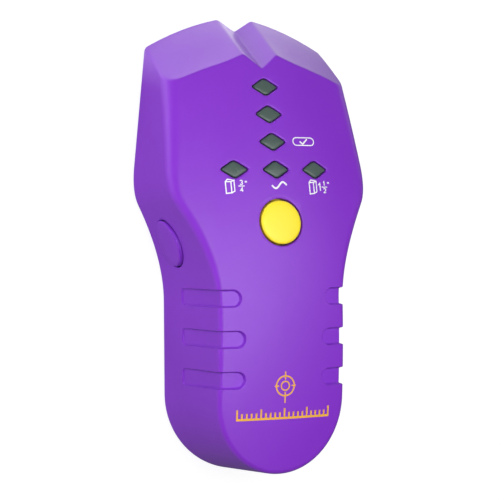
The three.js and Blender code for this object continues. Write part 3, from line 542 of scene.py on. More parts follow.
class Paint(Nodes):
    """One procedural finish on a Principled surface."""

    def __init__(self, name, **fixed):
        self.material = bpy.data.materials.new(name)
        self.material.use_nodes = True
        super().__init__(self.material.node_tree)
        self.surface = self.tree.nodes["Principled BSDF"]
        for key, value in fixed.items():
            socket = self.surface.inputs[key.replace("_", " ")]
            socket.default_value = (*value, 1) if isinstance(value, tuple) else value
        self.place = self.node("ShaderNodeTexCoord", {}, {}, "Object")

    def noise(self, scale, detail, roughness=0.5):
        values = {"Vector": self.place, "Scale": scale, "Detail": detail, "Roughness": roughness}
        return self.node("ShaderNodeTexNoise", {}, values, "Fac")

    def feed(self, name, value):
        self.tree.links.new(value.socket, self.surface.inputs[name])

    def tone(self, share, a, b):
        """Mixes two colours by share into the base colour."""
        values = {0: share, 6: (*a, 1), 7: (*b, 1)}
        self.feed("Base Color", self.node("ShaderNodeMix", {"data_type": "RGBA"}, values, 2))

    def bump(self, height, distance, strength):
        values = {"Height": height, "Distance": distance, "Strength": strength}
        self.feed("Normal", self.node("ShaderNodeBump", {}, values))

    def coat(self, obj):
        obj.data.materials.clear()
        obj.data.materials.append(self.material)


def moulded(name, colour, deep, roughness, **more):
    """Spark-eroded ABS: a fine grain, a faint mottle of tone and slightly uneven gloss."""
    paint = Paint(name, Base_Color=colour, Roughness=roughness, Coat_Roughness=0.35, **more)
    paint.tone(paint.noise(60, 4), deep, colour)
    paint.feed("Roughness", paint.noise(420, 2) * 0.1 + (roughness - 0.05))
    paint.bump(paint.noise(2600, 2, 0.6), 0.000012, 0.6)
    return paint


violet = moulded("violet_satin_abs", (0.228, 0.034, 0.575), (0.208, 0.027, 0.535), 0.4,
                 Specular_IOR_Level=0.55, Sheen_Weight=0.04, Sheen_Roughness=0.45)
violet.coat(front)

# ------------
# Rear casing: a shallow tray of the same violet ABS with a rounded back edge, a locating lip that
# the hood slips over, the walled box for the battery and four bosses for the long screws.
BOX_HALF, BOX_WALL, BOX_Y0, BOX_Y1, BOX_TOP = 13.75, 1.5, HEEL_Y + 11.8, HEEL_Y + 64.7, 20.5
BOX_EASING, FLOOR, LIP_TOP, LIP_IN, LIP_WALL = 0.35, 2.0, 5, 2.7, 1.2
TRAY_BOSS_TOP, BORE = 5.7, [(3.25, -1), (3.25, 0), (2.9, 0.35), (2.9, 2.7)]
REST_R, REST_TOP, HOOK_X, HOOK_SLOT_HALF, SLOT_REACH = 1, 4, 8, 2.8, 2.5
LEAD_SLOT_HALF, LEAD_SLOT_Z0, LEAD_SLOT_Z1 = 4.5, 9.75, 23.5
THUMB = [(5.6, -1), (5.4, 0), (5, 0.4), (4.6, 0.9)]
ROOF_SHARES = np.r_[0.88, 0.75, 0.62, 0.5, 0.4, 0.32, 0.28, 0.26, 0.245, 0.235, 0.225, 0.215, 0.205,
                    0.195, 0.18, 0.13, 0.08, 0.045, 0.025, 0.012, 0]
NOTCH_SHARE, NOTCH_AT = 0.3, 0.22


def plan_loop(z, inset=0.0):
    """The whole outline at height z with its softened roof corners, counter-clockwise from the heel."""
    roof_z = max(z, BACK_ROUND)
    low, high = 0.0, 1.0
    for _ in range(34):
        mid = (low + high) / 2
        x, y = outline(mid, z, inset)
        low, high = (mid, high) if y > roof_y(x, roof_z, inset) else (low, mid)
    corner = outline(high, z, inset)
    first = high + CORNER_SOFT / (PEAK_Y + OVERRUN - SHOULDER_Y - ROUND_UP)
    t = np.r_[np.linspace(first, 1, 14)[:-1], np.linspace(1, 2, 12)[:-1], np.linspace(2, 3, 26)[:-1],
              3, np.linspace(4, 5, 42)]
    right = outline(t, z, inset)[::-1]
    inner_x = corner[0] - CORNER_SOFT
    inner = np.array([inner_x, roof_y(inner_x, roof_z, inset)])
    soft = bend(right[-1], corner, inner, np.linspace(0, 1, 7)[1:, None])
    x = inner_x * ROOF_SHARES
    x = np.where(x < NOTCH_SHARE * inner_x, x * (inner_x + NOTCH_HALF / NOTCH_AT) / 2 / inner_x, x)
    half = np.concatenate([right, soft, np.stack([x, roof_y(x, roof_z, inset)], -1)])
    half[0, 0] = 0
    plan = np.concatenate([half, half[1:-1][::-1] * [-1, 1]])
    return np.concatenate([plan, np.full((len(plan), 1), z)], 1)


turns = np.linspace(0, pi / 2, 8)
rear_loops = [plan_loop(BACK_ROUND * (1 - cos(a)), BACK_ROUND * (1 - sin(a))) for a in turns]
rear = stack("rear_casing", rear_loops + [plan_loop(PARTING_Z)])
carve(rear, "UNION", [stack("lip", [plan_loop(z, LIP_IN) for z in (PARTING_Z - 0.5, LIP_TOP)])])
carve(rear, "DIFFERENCE", [stack("hollow", [plan_loop(z, LIP_IN + LIP_WALL) for z in (FLOOR, LIP_TOP + 1)])])
outer = BOX_HALF + BOX_WALL
added = [block("box", -outer, outer, BOX_Y0 - BOX_WALL, BOX_Y1 + BOX_WALL, 1, BOX_TOP + BOX_WALL)]
for x, y in HOUSING_SCREWS:
    added.append(rod("boss", BOSS_R, 1, TRAY_BOSS_TOP, x, y, 32))
added += [rod("rest", REST_R, 1, REST_TOP, x, y, 16) for x in (-20, 20) for y in (23.95, 61.95)]
carve(rear, "UNION", added)
pocket = []
for z, out in [(-1, BOX_EASING), (0, BOX_EASING), (BOX_EASING, 0), (BOX_TOP, 0)]:
    a, b, c = BOX_HALF + out, BOX_Y0 - out, BOX_Y1 + out
    pocket.append(np.array([(-a, b, z), (a, b, z), (a, c, z), (-a, c, z)], float))
cuts = [stack("battery_box", pocket), turned("thumb", THUMB, 0, BOX_Y0, 48)]
slot_y = (BOX_Y1 - 1, BOX_Y1 + SLOT_REACH)
cuts.append(block("lead_slot", -LEAD_SLOT_HALF, LEAD_SLOT_HALF, *slot_y, LEAD_SLOT_Z0, LEAD_SLOT_Z1))
for x, y in HOUSING_SCREWS:
    cuts += [turned("bore", BORE, x, y, 40), rod("bore", PILOT_R, -1, 10, x, y, 20)]
for x in (-HOOK_X, HOOK_X):
    cuts.append(block("hook_slot", x - HOOK_SLOT_HALF, x + HOOK_SLOT_HALF, *slot_y, FLOOR, LIP_TOP + 1))
carve(rear, "DIFFERENCE", cuts)
shade(rear, 32)
violet.coat(rear)
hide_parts("rear_shell")
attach(rear, "housing")

# ------------
# Battery lid: a flush ABS plate on the back. Two hooks at the waist end reach into slots of the
# tray and turn there; a thumb notch at the heel end lifts it.
LID_GAP, LID_ROUND = 0.3, 0.8
LID_HALF, LID_Y0, LID_Y1, LID_THICK = BOX_HALF - LID_GAP, BOX_Y0 + LID_GAP, BOX_Y1 - LID_GAP, 1.8
HOOK_HALF, HOOK_DEEP, TOE_REACH, TOE_Z, HOOK_TOP = 2.5, 2.2, 2.4, 2.3, 3.5


def lid_loop(z, inset):
    a, b, c, r = LID_HALF - inset, LID_Y0 + inset, LID_Y1 - inset, LID_ROUND
    points = []
    for k, (x, y) in enumerate([(a - r, c - r), (r - a, c - r), (r - a, b + r), (a - r, b + r)]):
        for turn in np.linspace(k * pi / 2, (k + 1) * pi / 2, 6):
            points.append((x + r * cos(turn), y + r * sin(turn), z))
    return np.array(points)


lid = stack("battery_lid_plate", [lid_loop(*at) for at in [(0, 0.35), (0.1, 0.1), (0.35, 0), (LID_THICK, 0)]])
for part, end_y, z in (("hook", LID_Y1, LID_THICK / 2), ("toe", BOX_Y1 + TOE_REACH, TOE_Z)):
    carve(lid, "UNION", [block(part, x - HOOK_HALF, x + HOOK_HALF, BOX_Y1 - HOOK_DEEP, end_y, z, HOOK_TOP)
                         for x in (-HOOK_X, HOOK_X)])
carve(lid, "DIFFERENCE", [turned("thumb", THUMB, 0, BOX_Y0, 48)])
shade(lid, 32)
violet.coat(lid)
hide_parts("battery_lid")
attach(lid, "battery_lid")

# ------------
# Indicator lenses: six smoked grey-green polycarbonate plugs, pushed in from behind and held by a
# flange. The faces are softly pillowed, with their rims a hair below the casing.
smoked = Paint("smoked_polycarbonate", Base_Color=(0.07, 0.105, 0.095), Roughness=0.24,
               Specular_IOR_Level=0.55)
smoked.tone(smoked.noise(40, 1), (0.06, 0.092, 0.08), (0.085, 0.12, 0.108))
smoked.feed("Roughness", smoked.noise(300, 2) * 0.08 + 0.22)
LENS_FOOT_Z, FLANGE_OUT, FLANGE_LOW, FLANGE_HIGH = 18.3, 0.9, -3.7, -2.75
LENS_SIDE = [(0, FLANGE_LOW), (FLANGE_OUT, FLANGE_LOW), (FLANGE_OUT, FLANGE_HIGH), (0, FLANGE_HIGH),
             (0, -1.2), (-0.06, -0.8), (-0.1, -0.5), (-0.17, -0.32), (-0.3, -0.2)]
LENS_CROWN = [(-0.55, -0.09), (-0.9, -0.05), (-1.5, -0.02), (-2.1, 0), (-2.5, 0)]
for name, at in LENSES.items():
    loops = [on_face(diamond(at, 0), 0)]
    loops[0][:, 2] = LENS_FOOT_Z
    loops += [on_face(diamond(at, 0, out), lift) for out, lift in LENS_SIDE]
    loops += [on_face(diamond(at, grow), lift) for grow, lift in LENS_CROWN]
    lens = stack("lens_plug_" + name, loops)
    shade(lens, 30)
    smoked.coat(lens)
    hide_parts("lens_" + name)
    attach(lens, "housing")

# ------------
# Face button: a round yellow cap, softly domed, with a flange that keeps it under the collar and a
# stem over the switch's plunger.
yellow = Paint("yellow_satin_cap", Base_Color=(0.96, 0.76, 0.035), Roughness=0.36)
yellow.tone(yellow.noise(120, 3), (0.93, 0.72, 0.03), (0.97, 0.79, 0.04))
yellow.feed("Roughness", yellow.noise(500, 2) * 0.08 + 0.32)
yellow.bump(yellow.noise(2400, 2, 0.6), 0.000008, 0.5)
STEM_R, STEM_FOOT_Z, KEY_FLANGE_R, KEY_FLANGE_THICK, KEY_TRAVEL_GAP = 2.4, 21.4, 8.85, 1.5, 0.3
CAP_DOME = [(BUTTON_R, -0.3), (7.28, -0.06), (7.2, 0.15), (7.05, 0.33), (6.82, 0.48), (6.5, 0.59),
            (6.1, 0.66), (5, 0.74), (3.5, 0.81), (1.8, 0.85), (0.6, 0.86)]
flange_top = collar_z - KEY_TRAVEL_GAP
flange_low = flange_top - KEY_FLANGE_THICK
cap_side = [(STEM_R, STEM_FOOT_Z), (STEM_R, flange_low), (KEY_FLANGE_R, flange_low),
            (KEY_FLANGE_R, flange_top), (BUTTON_R, flange_top)]
cap_loops = [ring(r, z, 0, BUTTON_Y, BUTTON_SIDES) for r, z in cap_side]
button = stack("round_key_cap", cap_loops + [key_loop(r, lift) for r, lift in CAP_DOME])
shade(button, 30)
yellow.coat(button)
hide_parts("mode_button")
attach(button, "mode_button")

# ------------
# Side button: a domed oval cap of the casing's own ABS in the left wall at the waist, with a flange
# behind the wall and a stem to its switch.
SCAN_SIDE = [(1.3, -4.0), (1.3, -2.7), (0, -2.7), (0, 0.35), (-0.02, 0.6), (-0.08, 0.8), (-0.2, 0.97),
             (-0.38, 1.09), (-0.65, 1.17)]
SCAN_DOME = [(0.85, 1.24), (0.74, 1.33), (0.6, 1.43), (0.45, 1.51), (0.3, 1.56), (0.15, 1.59), (0.05, 1.6)]
SCAN_STEM_R, SCAN_STEM_Z, SCAN_STEM_END, STEM_SUNK, STEM_SIDES = 2.2, BOARD_TOP + 3.2, -22.5, 2.0, 28
key_loops = [scan_loop(1, out, lift) for out, lift in SCAN_SIDE]
key_loops += [scan_loop(share, 0, dome) for share, dome in SCAN_DOME]
scan = stack("side_key_cap", key_loops)
stem = []
for x in (-float(side_x(SCAN_Y, SCAN_STEM_Z)) + STEM_SUNK, SCAN_STEM_END):
    across_x = ring(SCAN_STEM_R, x, SCAN_Y, SCAN_STEM_Z, STEM_SIDES)
    stem.append(across_x[:, [2, 0, 1]])
carve(scan, "UNION", [stack("stem", stem)])
shade(scan, 30)
violet.coat(scan)
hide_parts("scan_button")
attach(scan, "scan_button")

# ------------
# Printed marks: pad-printed ink on the face, white beside the lenses and ochre on the grip. Each is
# a run of thin strokes that lie on the curved face.
INK, STROKE_STEP, MITRE_LIMIT, FINE_LINE, LINE, BOLD_LINE = 0.05, 0.9, 0.45, 0.31, 0.36, 0.5


def ink(name, colour):
    paint = Paint(name, Base_Color=colour, Roughness=0.5)
    paint.tone(paint.noise(900, 3), tuple(c * 0.93 for c in colour), colour)
    return paint


white_ink = ink("white_pad_print", (0.87, 0.86, 0.9))
ochre_ink = ink("ochre_pad_print", (0.84, 0.42, 0.05))


def stroke(path, width, closed):
    """Corners and quads of one inked line of even width on the face, with mitred bends."""
    path = [np.array(p, float) for p in path]
    dense = []
    for a, b in zip(path, path[1:] + ([path[0]] if closed else [])):
        count = max(1, int(np.linalg.norm(b - a) / STROKE_STEP))
        dense += [lerp(a, b, k / count) for k in range(count)]
    if not closed:
        dense.append(path[-1])
    p = np.array(dense)
    n = len(p)
    ahead = np.roll(p, -1, 0) - p
    if not closed:
        ahead[-1] = ahead[-2]
    ahead /= np.linalg.norm(ahead, axis=1, keepdims=True)
    back = np.roll(ahead, 1, 0)
    if not closed:
        back[0] = ahead[0]
    normal = np.stack([-(ahead + back)[:, 1], (ahead + back)[:, 0]], 1)
    normal /= np.linalg.norm(normal, axis=1, keepdims=True)
    square = np.stack([-ahead[:, 1], ahead[:, 0]], 1)
    reach = width / 2 / np.maximum((normal * square).sum(1), MITRE_LIMIT)
    left, right = p + normal * reach[:, None], p - normal * reach[:, None]
    rings = [on_face(left, INK), on_face(right, INK), on_face(right, -INK), on_face(left, -INK)]
    quads = []
    for k in range(n if closed else n - 1):
        a, b = 4 * k, 4 * ((k + 1) % n)
        quads += [(a + s, b + s, b + (s + 1) % 4, a + (s + 1) % 4) for s in range(4)]
    if not closed:
        quads += [(0, 1, 2, 3), (4 * n - 1, 4 * n - 2, 4 * n - 3, 4 * n - 4)]
    return np.stack(rings, 1).reshape(-1, 3), quads


def printed(name, strokes, paint):
    points, quads = [], []
    for path, width, closed in strokes:
        start = sum(len(p) for p in points)
        p, q = stroke(path, width, closed)
        points.append(p)
        quads += [tuple(start + i for i in face) for face in q]
    mark = clean(mesh_object(name, np.concatenate(points) * MM, quads))
    paint.coat(mark)
    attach(mark, "housing")


def arc(x, y, rx, ry, a0, a1, count=12):
    return [(x + rx * cos(a), y + ry * sin(a)) for a in np.linspace(a0 * pi / 180, a1 * pi / 180, count)]


def digit(value, x, y, h):
    """A plain digit of height h, centred at x and y."""
    w = h * 0.3
    r = h / 4
    top, low = y + h / 2, y - h / 2
    shapes = {
        "1": [[(x - w * 0.8, y + h * 0.27), (x, top), (x, low)]],
        "2": [arc(x, top - r * 1.1, w, r * 1.1, 170, -40) + [(x - w, low), (x + w * 1.1, low)]],
        "3": [arc(x, y + r, w, r, 160, -90), arc(x, y - r, w * 1.1, r, 90, -160)],
        "4": [[(x + w * 0.5, low), (x + w * 0.5, top), (x - w, y - h * 0.18), (x + w * 1.2, y - h * 0.18)]],
    }
    return shapes[value]


def fraction(x, y, top, bottom):
    """Two small digits over and under a bar, with an inch mark beside the upper one."""
    height, apart, bar, mark_x = 1.4, 1.2, 1.1, x + 1.45
    lines = digit(top, x, y + apart, height) + digit(bottom, x, y - apart, height)
    lines.append([(x - bar, y), (x + bar, y)])
    lines += [[(mark_x + k, y + 1.7), (mark_x + k, y + 1.15)] for k in (0, 0.42)]
    return [(line, FINE_LINE, False) for line in lines]


def timber(x, y, w):
    """A standing stud of width w: a tall front with its top and side drawn slanting back."""
    h, depth, rise = 3.9, 1.1, 0.55
    a, b = (x - w / 2, y - h / 2), (x + w / 2, y - h / 2 + 0.2)
    c, d = (x + w / 2, y + h / 2), (x - w / 2, y + h / 2)
    far_c = (c[0] + depth, c[1] + rise - 0.1)
    top = [d, (d[0] + depth * 0.7, d[1] + 0.8), far_c, c]
    side = [c, far_c, (b[0] + depth, b[1] + rise), b]
    return [([a, b, c, d], 0.4, True), (top, LINE, False), (side, LINE, False)]


READY_Y, READY_X0, READY_X1, READY_R = 34.85, 8.95, 14.55, 1.3
pill = arc(READY_X1, READY_Y, READY_R, READY_R, -90, 90) + arc(READY_X0, READY_Y, READY_R, READY_R, 90, 270)
check_mark = [(10.3, 34.9), (11.35, 33.95), (13.3, 35.75)]
printed("print_ready", [(pill, LINE, True), (check_mark, BOLD_LINE, False)], white_ink)
WAVE_X, WAVE_Y, WAVE_HALF, WAVE_HIGH = 0.46, 20.0, 2.75, 1.05
wave = [(WAVE_X + WAVE_HALF * u, WAVE_Y + WAVE_HIGH * sin(pi * u)) for u in np.linspace(-1, 1, 25)]
printed("print_live_wire", [(wave, 0.6, False)], white_ink)
printed("print_thin_wall", timber(-17.7, 19.2, 1.9) + fraction(-13.2, 19.7, "3", "4"), white_ink)
one = [(line, 0.4, False) for line in digit("1", 16.3, 19.4, 2.5)]
thick = timber(12.9, 19.0, 1.7) + one + fraction(18.1, 19.4, "1", "2")
printed("print_thick_wall", thick, white_ink)

# The ochre mark on the grip: a plumb target over a graduated scale
TARGET_Y, TARGET_R, TARGET_EYE_R, TARGET_LINE = -46.7, 3.3, 1.5, 0.45
SCALE_Y, SCALE_HALF, SCALE_LINE = -57.5, 17.2, 0.75
target = [(arc(0, TARGET_Y, TARGET_R, TARGET_R, 0, 351, 40), BOLD_LINE, True),
          (arc(0, TARGET_Y, TARGET_EYE_R, TARGET_EYE_R, 0, 345, 24), TARGET_LINE, True)]
hairs = [[(0, -41.9), (0, -44.6)], [(0, -48.8), (0, -52.4)]]
hairs += [[(s * 3.9, TARGET_Y), (s * 2.3, TARGET_Y)] for s in (-1, 1)]
printed("print_target", target + [(hair, TARGET_LINE, False) for hair in hairs], ochre_ink)
printed("print_scale_line", [([(-SCALE_HALF, SCALE_Y), (SCALE_HALF, SCALE_Y)], SCALE_LINE, False)], ochre_ink)


class Growth(Nodes):
    """A geometry tree with named inputs, which runs once on an object and leaves a plain mesh."""

    kinds = {int: "NodeSocketInt", float: "NodeSocketFloat", bpy.types.Material: "NodeSocketMaterial"}

    def __init__(self, name, **named):
        super().__init__(bpy.data.node_groups.new(name, "GeometryNodeTree"))
        face = self.tree.interface
        face.new_socket("Geometry", in_out="INPUT", socket_type="NodeSocketGeometry")
        self.values = {}
        for key, value in named.items():
            label = key.replace("_", " ")
            socket = face.new_socket(label, in_out="INPUT", socket_type=self.kinds[type(value)])
            self.values[socket.identifier] = value
        face.new_socket("Geometry", in_out="OUTPUT", socket_type="NodeSocketGeometry")
        source = self.tree.nodes.new("NodeGroupInput")
        self.given = {output.name: Sum(self, output) for output in source.outputs if output.name}

    def cut(self, operation, values):
        return self.node("GeometryNodeMeshBoolean", {"operation": operation}, values)

    def vector(self, **values):
        return self.node("ShaderNodeCombineXYZ", {}, values)

    def moved(self, geometry, by):
        return self.node("GeometryNodeTransform", {}, {"Geometry": geometry, "Translation": by})

    def run(self, obj, points, instance, material, **more):
        """Sets the instance on the points, makes it real in the material and keeps the result in obj."""
        values = {"Points": points, "Instance": instance, **more}
        spread = self.node("GeometryNodeInstanceOnPoints", {}, values)
        real = self.node("GeometryNodeRealizeInstances", {}, {"Geometry": spread})
        inked = self.node("GeometryNodeSetMaterial", {}, {"Geometry": real, "Material": material})
        self.tree.links.new(inked.socket, self.tree.nodes.new("NodeGroupOutput").inputs[0])
        step = obj.modifiers.new(self.tree.name, "NODES")
        step.node_group = self.tree
        for identifier, value in self.values.items():
            step[identifier] = value
        obj.update_tag()
        bake(obj)


# The scale's ticks stand on a row of points: every fifth is long
scale = Growth("scale_ticks", Count=21, Pitch=1.69 * MM, Width=0.6 * MM, Short=1.9 * MM, Long=3.2 * MM,
               Ink=ochre_ink.material)
LONG_EVERY, TICKS_Y = 5.0, -57.4
given = scale.given
index = scale.node("GeometryNodeInputIndex", {}, {})
start_at = scale.vector(X=(given["Count"] - 1.0) * 0.5 * given["Pitch"] * -1.0)
row = {"Count": given["Count"], "Start Location": start_at, "Offset": scale.vector(X=given["Pitch"])}
line = scale.node("GeometryNodeMeshLine", {"mode": "OFFSET"}, row)
is_long = index.math("MODULO", LONG_EVERY).math("COMPARE", 0.0)
tall = given["Short"] + (given["Long"] - given["Short"]) * is_long
tick = scale.node("GeometryNodeMeshCube", {}, {"Size": (1.0, 1.0, 1.0), "Vertices Y": 4})
sizes = scale.vector(X=given["Width"], Y=tall, Z=2 * INK * MM)
ticks = mesh_object("print_scale_ticks", [(0, 0, 0)], [])
scale.run(ticks, line, scale.moved(tick, (0.0, 0.5, 0.0)), given["Ink"], Scale=sizes)
for corner in ticks.data.vertices:
    x, y = corner.co.x, corner.co.y + TICKS_Y * MM
    corner.co = (x, y, float(face_z(x / MM, y / MM)) * MM + corner.co.z)
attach(ticks, "housing")

# ------------
# Housing screws: four long pan-head screws with a cross recess, driven from the back through the
# tray's bosses into the hood's.
steel = Paint("nickel_plated_steel", Base_Color=(0.62, 0.62, 0.63), Metallic=0.9, Roughness=0.35)
steel.feed("Roughness", steel.noise(700, 3) * 0.2 + 0.28)
steel.bump(steel.noise(1800, 2), 0.00001, 0.5)
driven = Growth("cross_screws", Head_radius=2.6 * MM, Head_height=2.0 * MM, Shank_radius=1.3 * MM,
                Length=13 * MM, Recess=3.2 * MM, Seat=2.4 * MM, Steel=steel.material)
RECESS_DEEP, RECESS_Z, RECESS_ARM, SHANK_MIDDLE = 2.2 * MM, 0.4 * MM, 0.22, 0.48
given = driven.given
solids = []
for sides, radius, depth, middle in [
    (40, given["Head radius"], given["Head height"], given["Seat"] - given["Head height"] * 0.5),
    (24, given["Shank radius"], given["Length"], given["Seat"] + given["Length"] * SHANK_MIDDLE),
]:
    solid = driven.node("GeometryNodeMeshCylinder", {}, {"Vertices": sides, "Radius": radius, "Depth": depth})
    solids.append(driven.moved(solid, driven.vector(Z=middle)))
joined = driven.cut("UNION", {"Mesh 2": solids})
narrow = given["Recess"] * RECESS_ARM
arms = []
for wide, deep in ((given["Recess"], narrow), (narrow, given["Recess"])):
    arm = driven.node("GeometryNodeMeshCube", {}, {"Size": driven.vector(X=wide, Y=deep, Z=RECESS_DEEP)})
    arms.append(driven.moved(arm, (0.0, 0.0, RECESS_Z)))
screw = driven.cut("DIFFERENCE", {"Mesh 1": joined, "Mesh 2": arms})
screws = mesh_object("housing_screws", [(x * MM, y * MM, 0) for x, y in HOUSING_SCREWS], [])
driven.run(screws, given["Geometry"], screw, given["Steel"])
shade(clean(screws), 30)
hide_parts(*["housing_screw_" + n for n in ("head_left", "head_right", "grip_left", "grip_right")])
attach(screws, "housing")

# ------------
# Inside: the battery with its snap and leads, the main board with its lamps, switches and parts,
# and the sensor board with three copper plates. Their CAD solids stay and get their finishes.
BAND = {"From Min": -0.036, "From Max": -0.0358}
jacket = Paint("battery_jacket", Base_Color=(0.03, 0.035, 0.05), Metallic=0.6, Roughness=0.35)
height = jacket.node("ShaderNodeSeparateXYZ", {}, {"Vector": jacket.place}, 1)
band = jacket.node("ShaderNodeMapRange", {}, {"Value": height, **BAND})
jacket.tone(band, (0.03, 0.035, 0.05), (0.65, 0.33, 0.12))
jacket.feed("Roughness", jacket.noise(200, 3) * 0.15 + 0.28)

mask = Paint("green_solder_mask", Base_Color=(0.012, 0.11, 0.035), Roughness=0.35)
tracks = mask.node("ShaderNodeTexBrick", {"offset": 0.35, "squash": 1.4}, {
    "Vector": mask.place, "Scale": 240.0, "Mortar Size": 0.03,
    "Color1": (0, 0, 0, 1), "Color2": (0, 0, 0, 1), "Mortar": (1, 1, 1, 1)}, 1)
mask.tone(tracks, (0.012, 0.11, 0.035), (0.03, 0.2, 0.06))
mask.bump(tracks, 0.00003, 0.5)

copper = Paint("bare_copper_foil", Base_Color=(0.72, 0.33, 0.16), Metallic=1.0, Roughness=0.35)
copper.tone(copper.noise(150, 4), (0.6, 0.24, 0.11), (0.78, 0.4, 0.2))
epoxy = Paint("diffused_epoxy", Base_Color=(0.62, 0.75, 0.6), Roughness=0.15)
epoxy.tone(epoxy.noise(800, 2), (0.55, 0.7, 0.52), (0.68, 0.8, 0.66))
black = moulded("black_moulded", (0.018, 0.018, 0.02), (0.012, 0.012, 0.014), 0.45)
sleeve = moulded("capacitor_sleeve", (0.02, 0.025, 0.07), (0.015, 0.018, 0.05), 0.3)
nylon = moulded("cream_nylon", (0.68, 0.62, 0.48), (0.63, 0.57, 0.44), 0.45)
red_pvc = moulded("red_pvc", (0.42, 0.012, 0.012), (0.36, 0.01, 0.01), 0.42)
black_pvc = moulded("black_pvc", (0.02, 0.02, 0.02), (0.014, 0.014, 0.014), 0.42)
FINISH = {
    "battery_body": jacket, "battery_stud_positive": steel, "battery_stud_negative": steel,
    "snap_plate": black, "lead_positive": red_pvc, "lead_negative": black_pvc,
    "main_board": mask, "sensor_board": mask, "microcontroller": black, "crystal": steel,
    "capacitor_supply": sleeve, "capacitor_filter": sleeve, "buzzer": black, "board_header": black,
    "mode_switch": black, "scan_switch": black, "mode_plunger": nylon, "scan_plunger": nylon,
}
for side in ("left", "centre", "right"):
    FINISH["sense_plate_" + side] = copper
for lens_name in LENSES:
    FINISH["lamp_" + lens_name] = epoxy
for corner_name in ("top_left", "top_right", "bottom_left", "bottom_right"):
    FINISH["board_screw_" + corner_name] = steel
BOXY = ("battery_body", "snap_plate", "microcontroller", "crystal", "board_header", "mode_switch",
        "scan_switch")
for node_name, paint in FINISH.items():
    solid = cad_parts[node_name]
    solid.material_slots[0].material = paint.material
    if node_name in BOXY:
        weld = solid.modifiers.new("weld", "WELD")
        weld.merge_threshold = 1e-6
        ease = solid.modifiers.new("ease", "BEVEL")
        ease.width, ease.segments, ease.limit_method, ease.angle_limit = 0.15 * MM, 2, "ANGLE", 0.6

# ------------
# Stage: a plain white sweep under the tool, soft boxes and a pale sky. In the tool's own reflections the
# sweep is
# painted instead: near black, with a glowing patch beyond the head that is a painted reflection on the roof.
# The sweep lies a hair above the back plane and shows only from above, so that the back can be seen from
# below. The camera stands to the left of the face and looks down on it, with the head pointing up in the
# frame.
TURN, TILT, ROLL = 0.43633, 0.0101, -0.00747
DISTANCE, AIM_Y = 632.36 * MM, 0.75 * MM
FOCAL, FRAME_SIZE, MIDDLE_X, MIDDLE_Y = 1798.27, 500, 233.98, 242.15
way = Vector((-sin(TURN) * cos(TILT), sin(TILT), cos(TURN) * cos(TILT)))
eye = way * DISTANCE + Vector((0, AIM_Y, 0))
right_way = (-way).cross(Vector((0, 1, 0))).normalized()
up_way = right_way.cross(-way)
rolled_right = right_way * cos(ROLL) + up_way * sin(ROLL)
rolled_up = up_way * cos(ROLL) - right_way * sin(ROLL)
camera_data = bpy.data.cameras.new("camera")
camera_data.lens = FOCAL * camera_data.sensor_width / FRAME_SIZE
camera_data.shift_x = (FRAME_SIZE / 2 - MIDDLE_X) / FRAME_SIZE
camera_data.shift_y = (MIDDLE_Y - FRAME_SIZE / 2) / FRAME_SIZE
camera = bpy.data.objects.new("camera", camera_data)
camera.matrix_world = Matrix.Translation(eye) @ Matrix((rolled_right, rolled_up, way)).transposed().to_4x4()
scene.collection.objects.link(camera)
scene.camera = camera
scene.view_settings.view_transform = "Standard"

SWEEP_Z, SWEEP_HALF = 0.05 * MM, 3
SWEEP_GLOW, PAINTED_REFLECTION_GLOW, GLOW_SHARE, WHITE = 1.1, 3.2, 0.8, (1, 1, 1, 1)
PAINTED_REFLECTION_RISE = {"From Min": 0.055, "From Max": 0.085}
PAINTED_REFLECTION_FADE = {"From Min": 0.0, "From Max": 0.06, "To Min": 1.0, "To Max": 0.3}
edges = [(x * SWEEP_HALF, y * SWEEP_HALF, SWEEP_Z) for x, y in ((-1, -1), (1, -1), (1, 1), (-1, 1))]
floor = mesh_object("floor", edges, [(0, 1, 2, 3)])
sweep = Paint("white_sweep", Base_Color=(0.86, 0.86, 0.86), Roughness=0.95)
ray, gloss, bounce, through = [sweep.node("ShaderNodeLightPath", {}, {}, "Is " + kind + " Ray")
                               for kind in ("Camera", "Glossy", "Diffuse", "Transmission")]
behind = sweep.node("ShaderNodeNewGeometry", {}, {}, "Backfacing")
glow = sweep.node("ShaderNodeEmission", {}, {"Color": WHITE, "Strength": SWEEP_GLOW})
# Painted reflections: glossy rays see a glowing patch beyond the head, which paints a pale reflection on the
# roof, and a near-black sheet elsewhere, which paints the sides' reflections dark
painted_reflection = sweep.node("ShaderNodeEmission", {}, {"Color": WHITE, "Strength": PAINTED_REFLECTION_GLOW})
painted_dark_reflection = sweep.node("ShaderNodeBsdfDiffuse", {}, {"Color": (0.05, 0.05, 0.05, 1)})
clear = sweep.node("ShaderNodeBsdfTransparent", {}, {})
lit = Sum(sweep, sweep.surface.outputs[0])
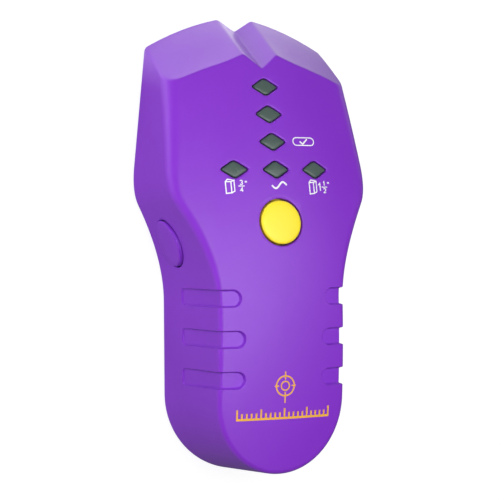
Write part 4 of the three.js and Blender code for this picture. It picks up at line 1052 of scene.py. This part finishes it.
x_place, y_place = [sweep.node("ShaderNodeSeparateXYZ", {}, {"Vector": sweep.place}, k) for k in (0, 1)]
beyond = sweep.node("ShaderNodeMapRange", {}, {"Value": y_place, **PAINTED_REFLECTION_RISE})
fade = sweep.node("ShaderNodeMapRange", {}, {"Value": x_place, **PAINTED_REFLECTION_FADE})
# The painted reflection: the glowing patch beyond the head, dimmer to the right, over the near-black sheet
mirrored = sweep.node("ShaderNodeMixShader", {}, {0: beyond * fade, 1: painted_dark_reflection, 2: painted_reflection})
shown = sweep.node("ShaderNodeMixShader", {}, {0: (ray + through + bounce) * GLOW_SHARE, 1: lit, 2: glow})
# Glossy rays see only the painted reflection, not the lit sweep
shown = sweep.node("ShaderNodeMixShader", {}, {0: gloss, 1: shown, 2: mirrored})
sweep.show(sweep.node("ShaderNodeMixShader", {}, {0: behind, 1: shown, 2: clear}), "Material Output")
sweep.coat(floor)

AMBIENT = 0.25
world = bpy.data.worlds.new("sky")
scene.world = world
world.use_nodes = True
sky = Nodes(world.node_tree)
even = sky.tree.nodes["Background"]
even.inputs["Strength"].default_value = AMBIENT
bright = sky.node("ShaderNodeBackground", {}, {"Strength": 1.0})
seen = sky.node("ShaderNodeLightPath", {}, {}, "Is Camera Ray")
mixed = {0: seen, 1: Sum(sky, even.outputs[0]), 2: bright}
sky.show(sky.node("ShaderNodeMixShader", {}, mixed), "World Output")


def soft_box(name, place, target, size, watts, mirrored=True):
    data = bpy.data.lights.new(name, "AREA")
    data.shape = "RECTANGLE"
    data.size, data.size_y = size
    data.energy = watts
    lamp = bpy.data.objects.new(name, data)
    lamp.location = place
    lamp.visible_glossy = mirrored
    lamp.rotation_euler = (Vector(target) - Vector(place)).to_track_quat("-Z", "Y").to_euler()
    scene.collection.objects.link(lamp)


soft_box("over_box", (0.15, 0.07, 0.8), (0, 0, 0.02), size=(0.42, 0.8), watts=2.4)
soft_box("key_box", (-0.03, 0.03, 0.5), (0, 0, 0.03), size=(0.25, 0.5), watts=1.95, mirrored=False)
soft_box("left_box", (-0.5, 0.1, 0.1), (0, 0, 0.02), size=(0.4, 0.2), watts=1.5, mirrored=False)
soft_box("under_box", (-0.1, -0.2, -0.6), (0, 0, 0), size=(0.7, 0.7), watts=6)
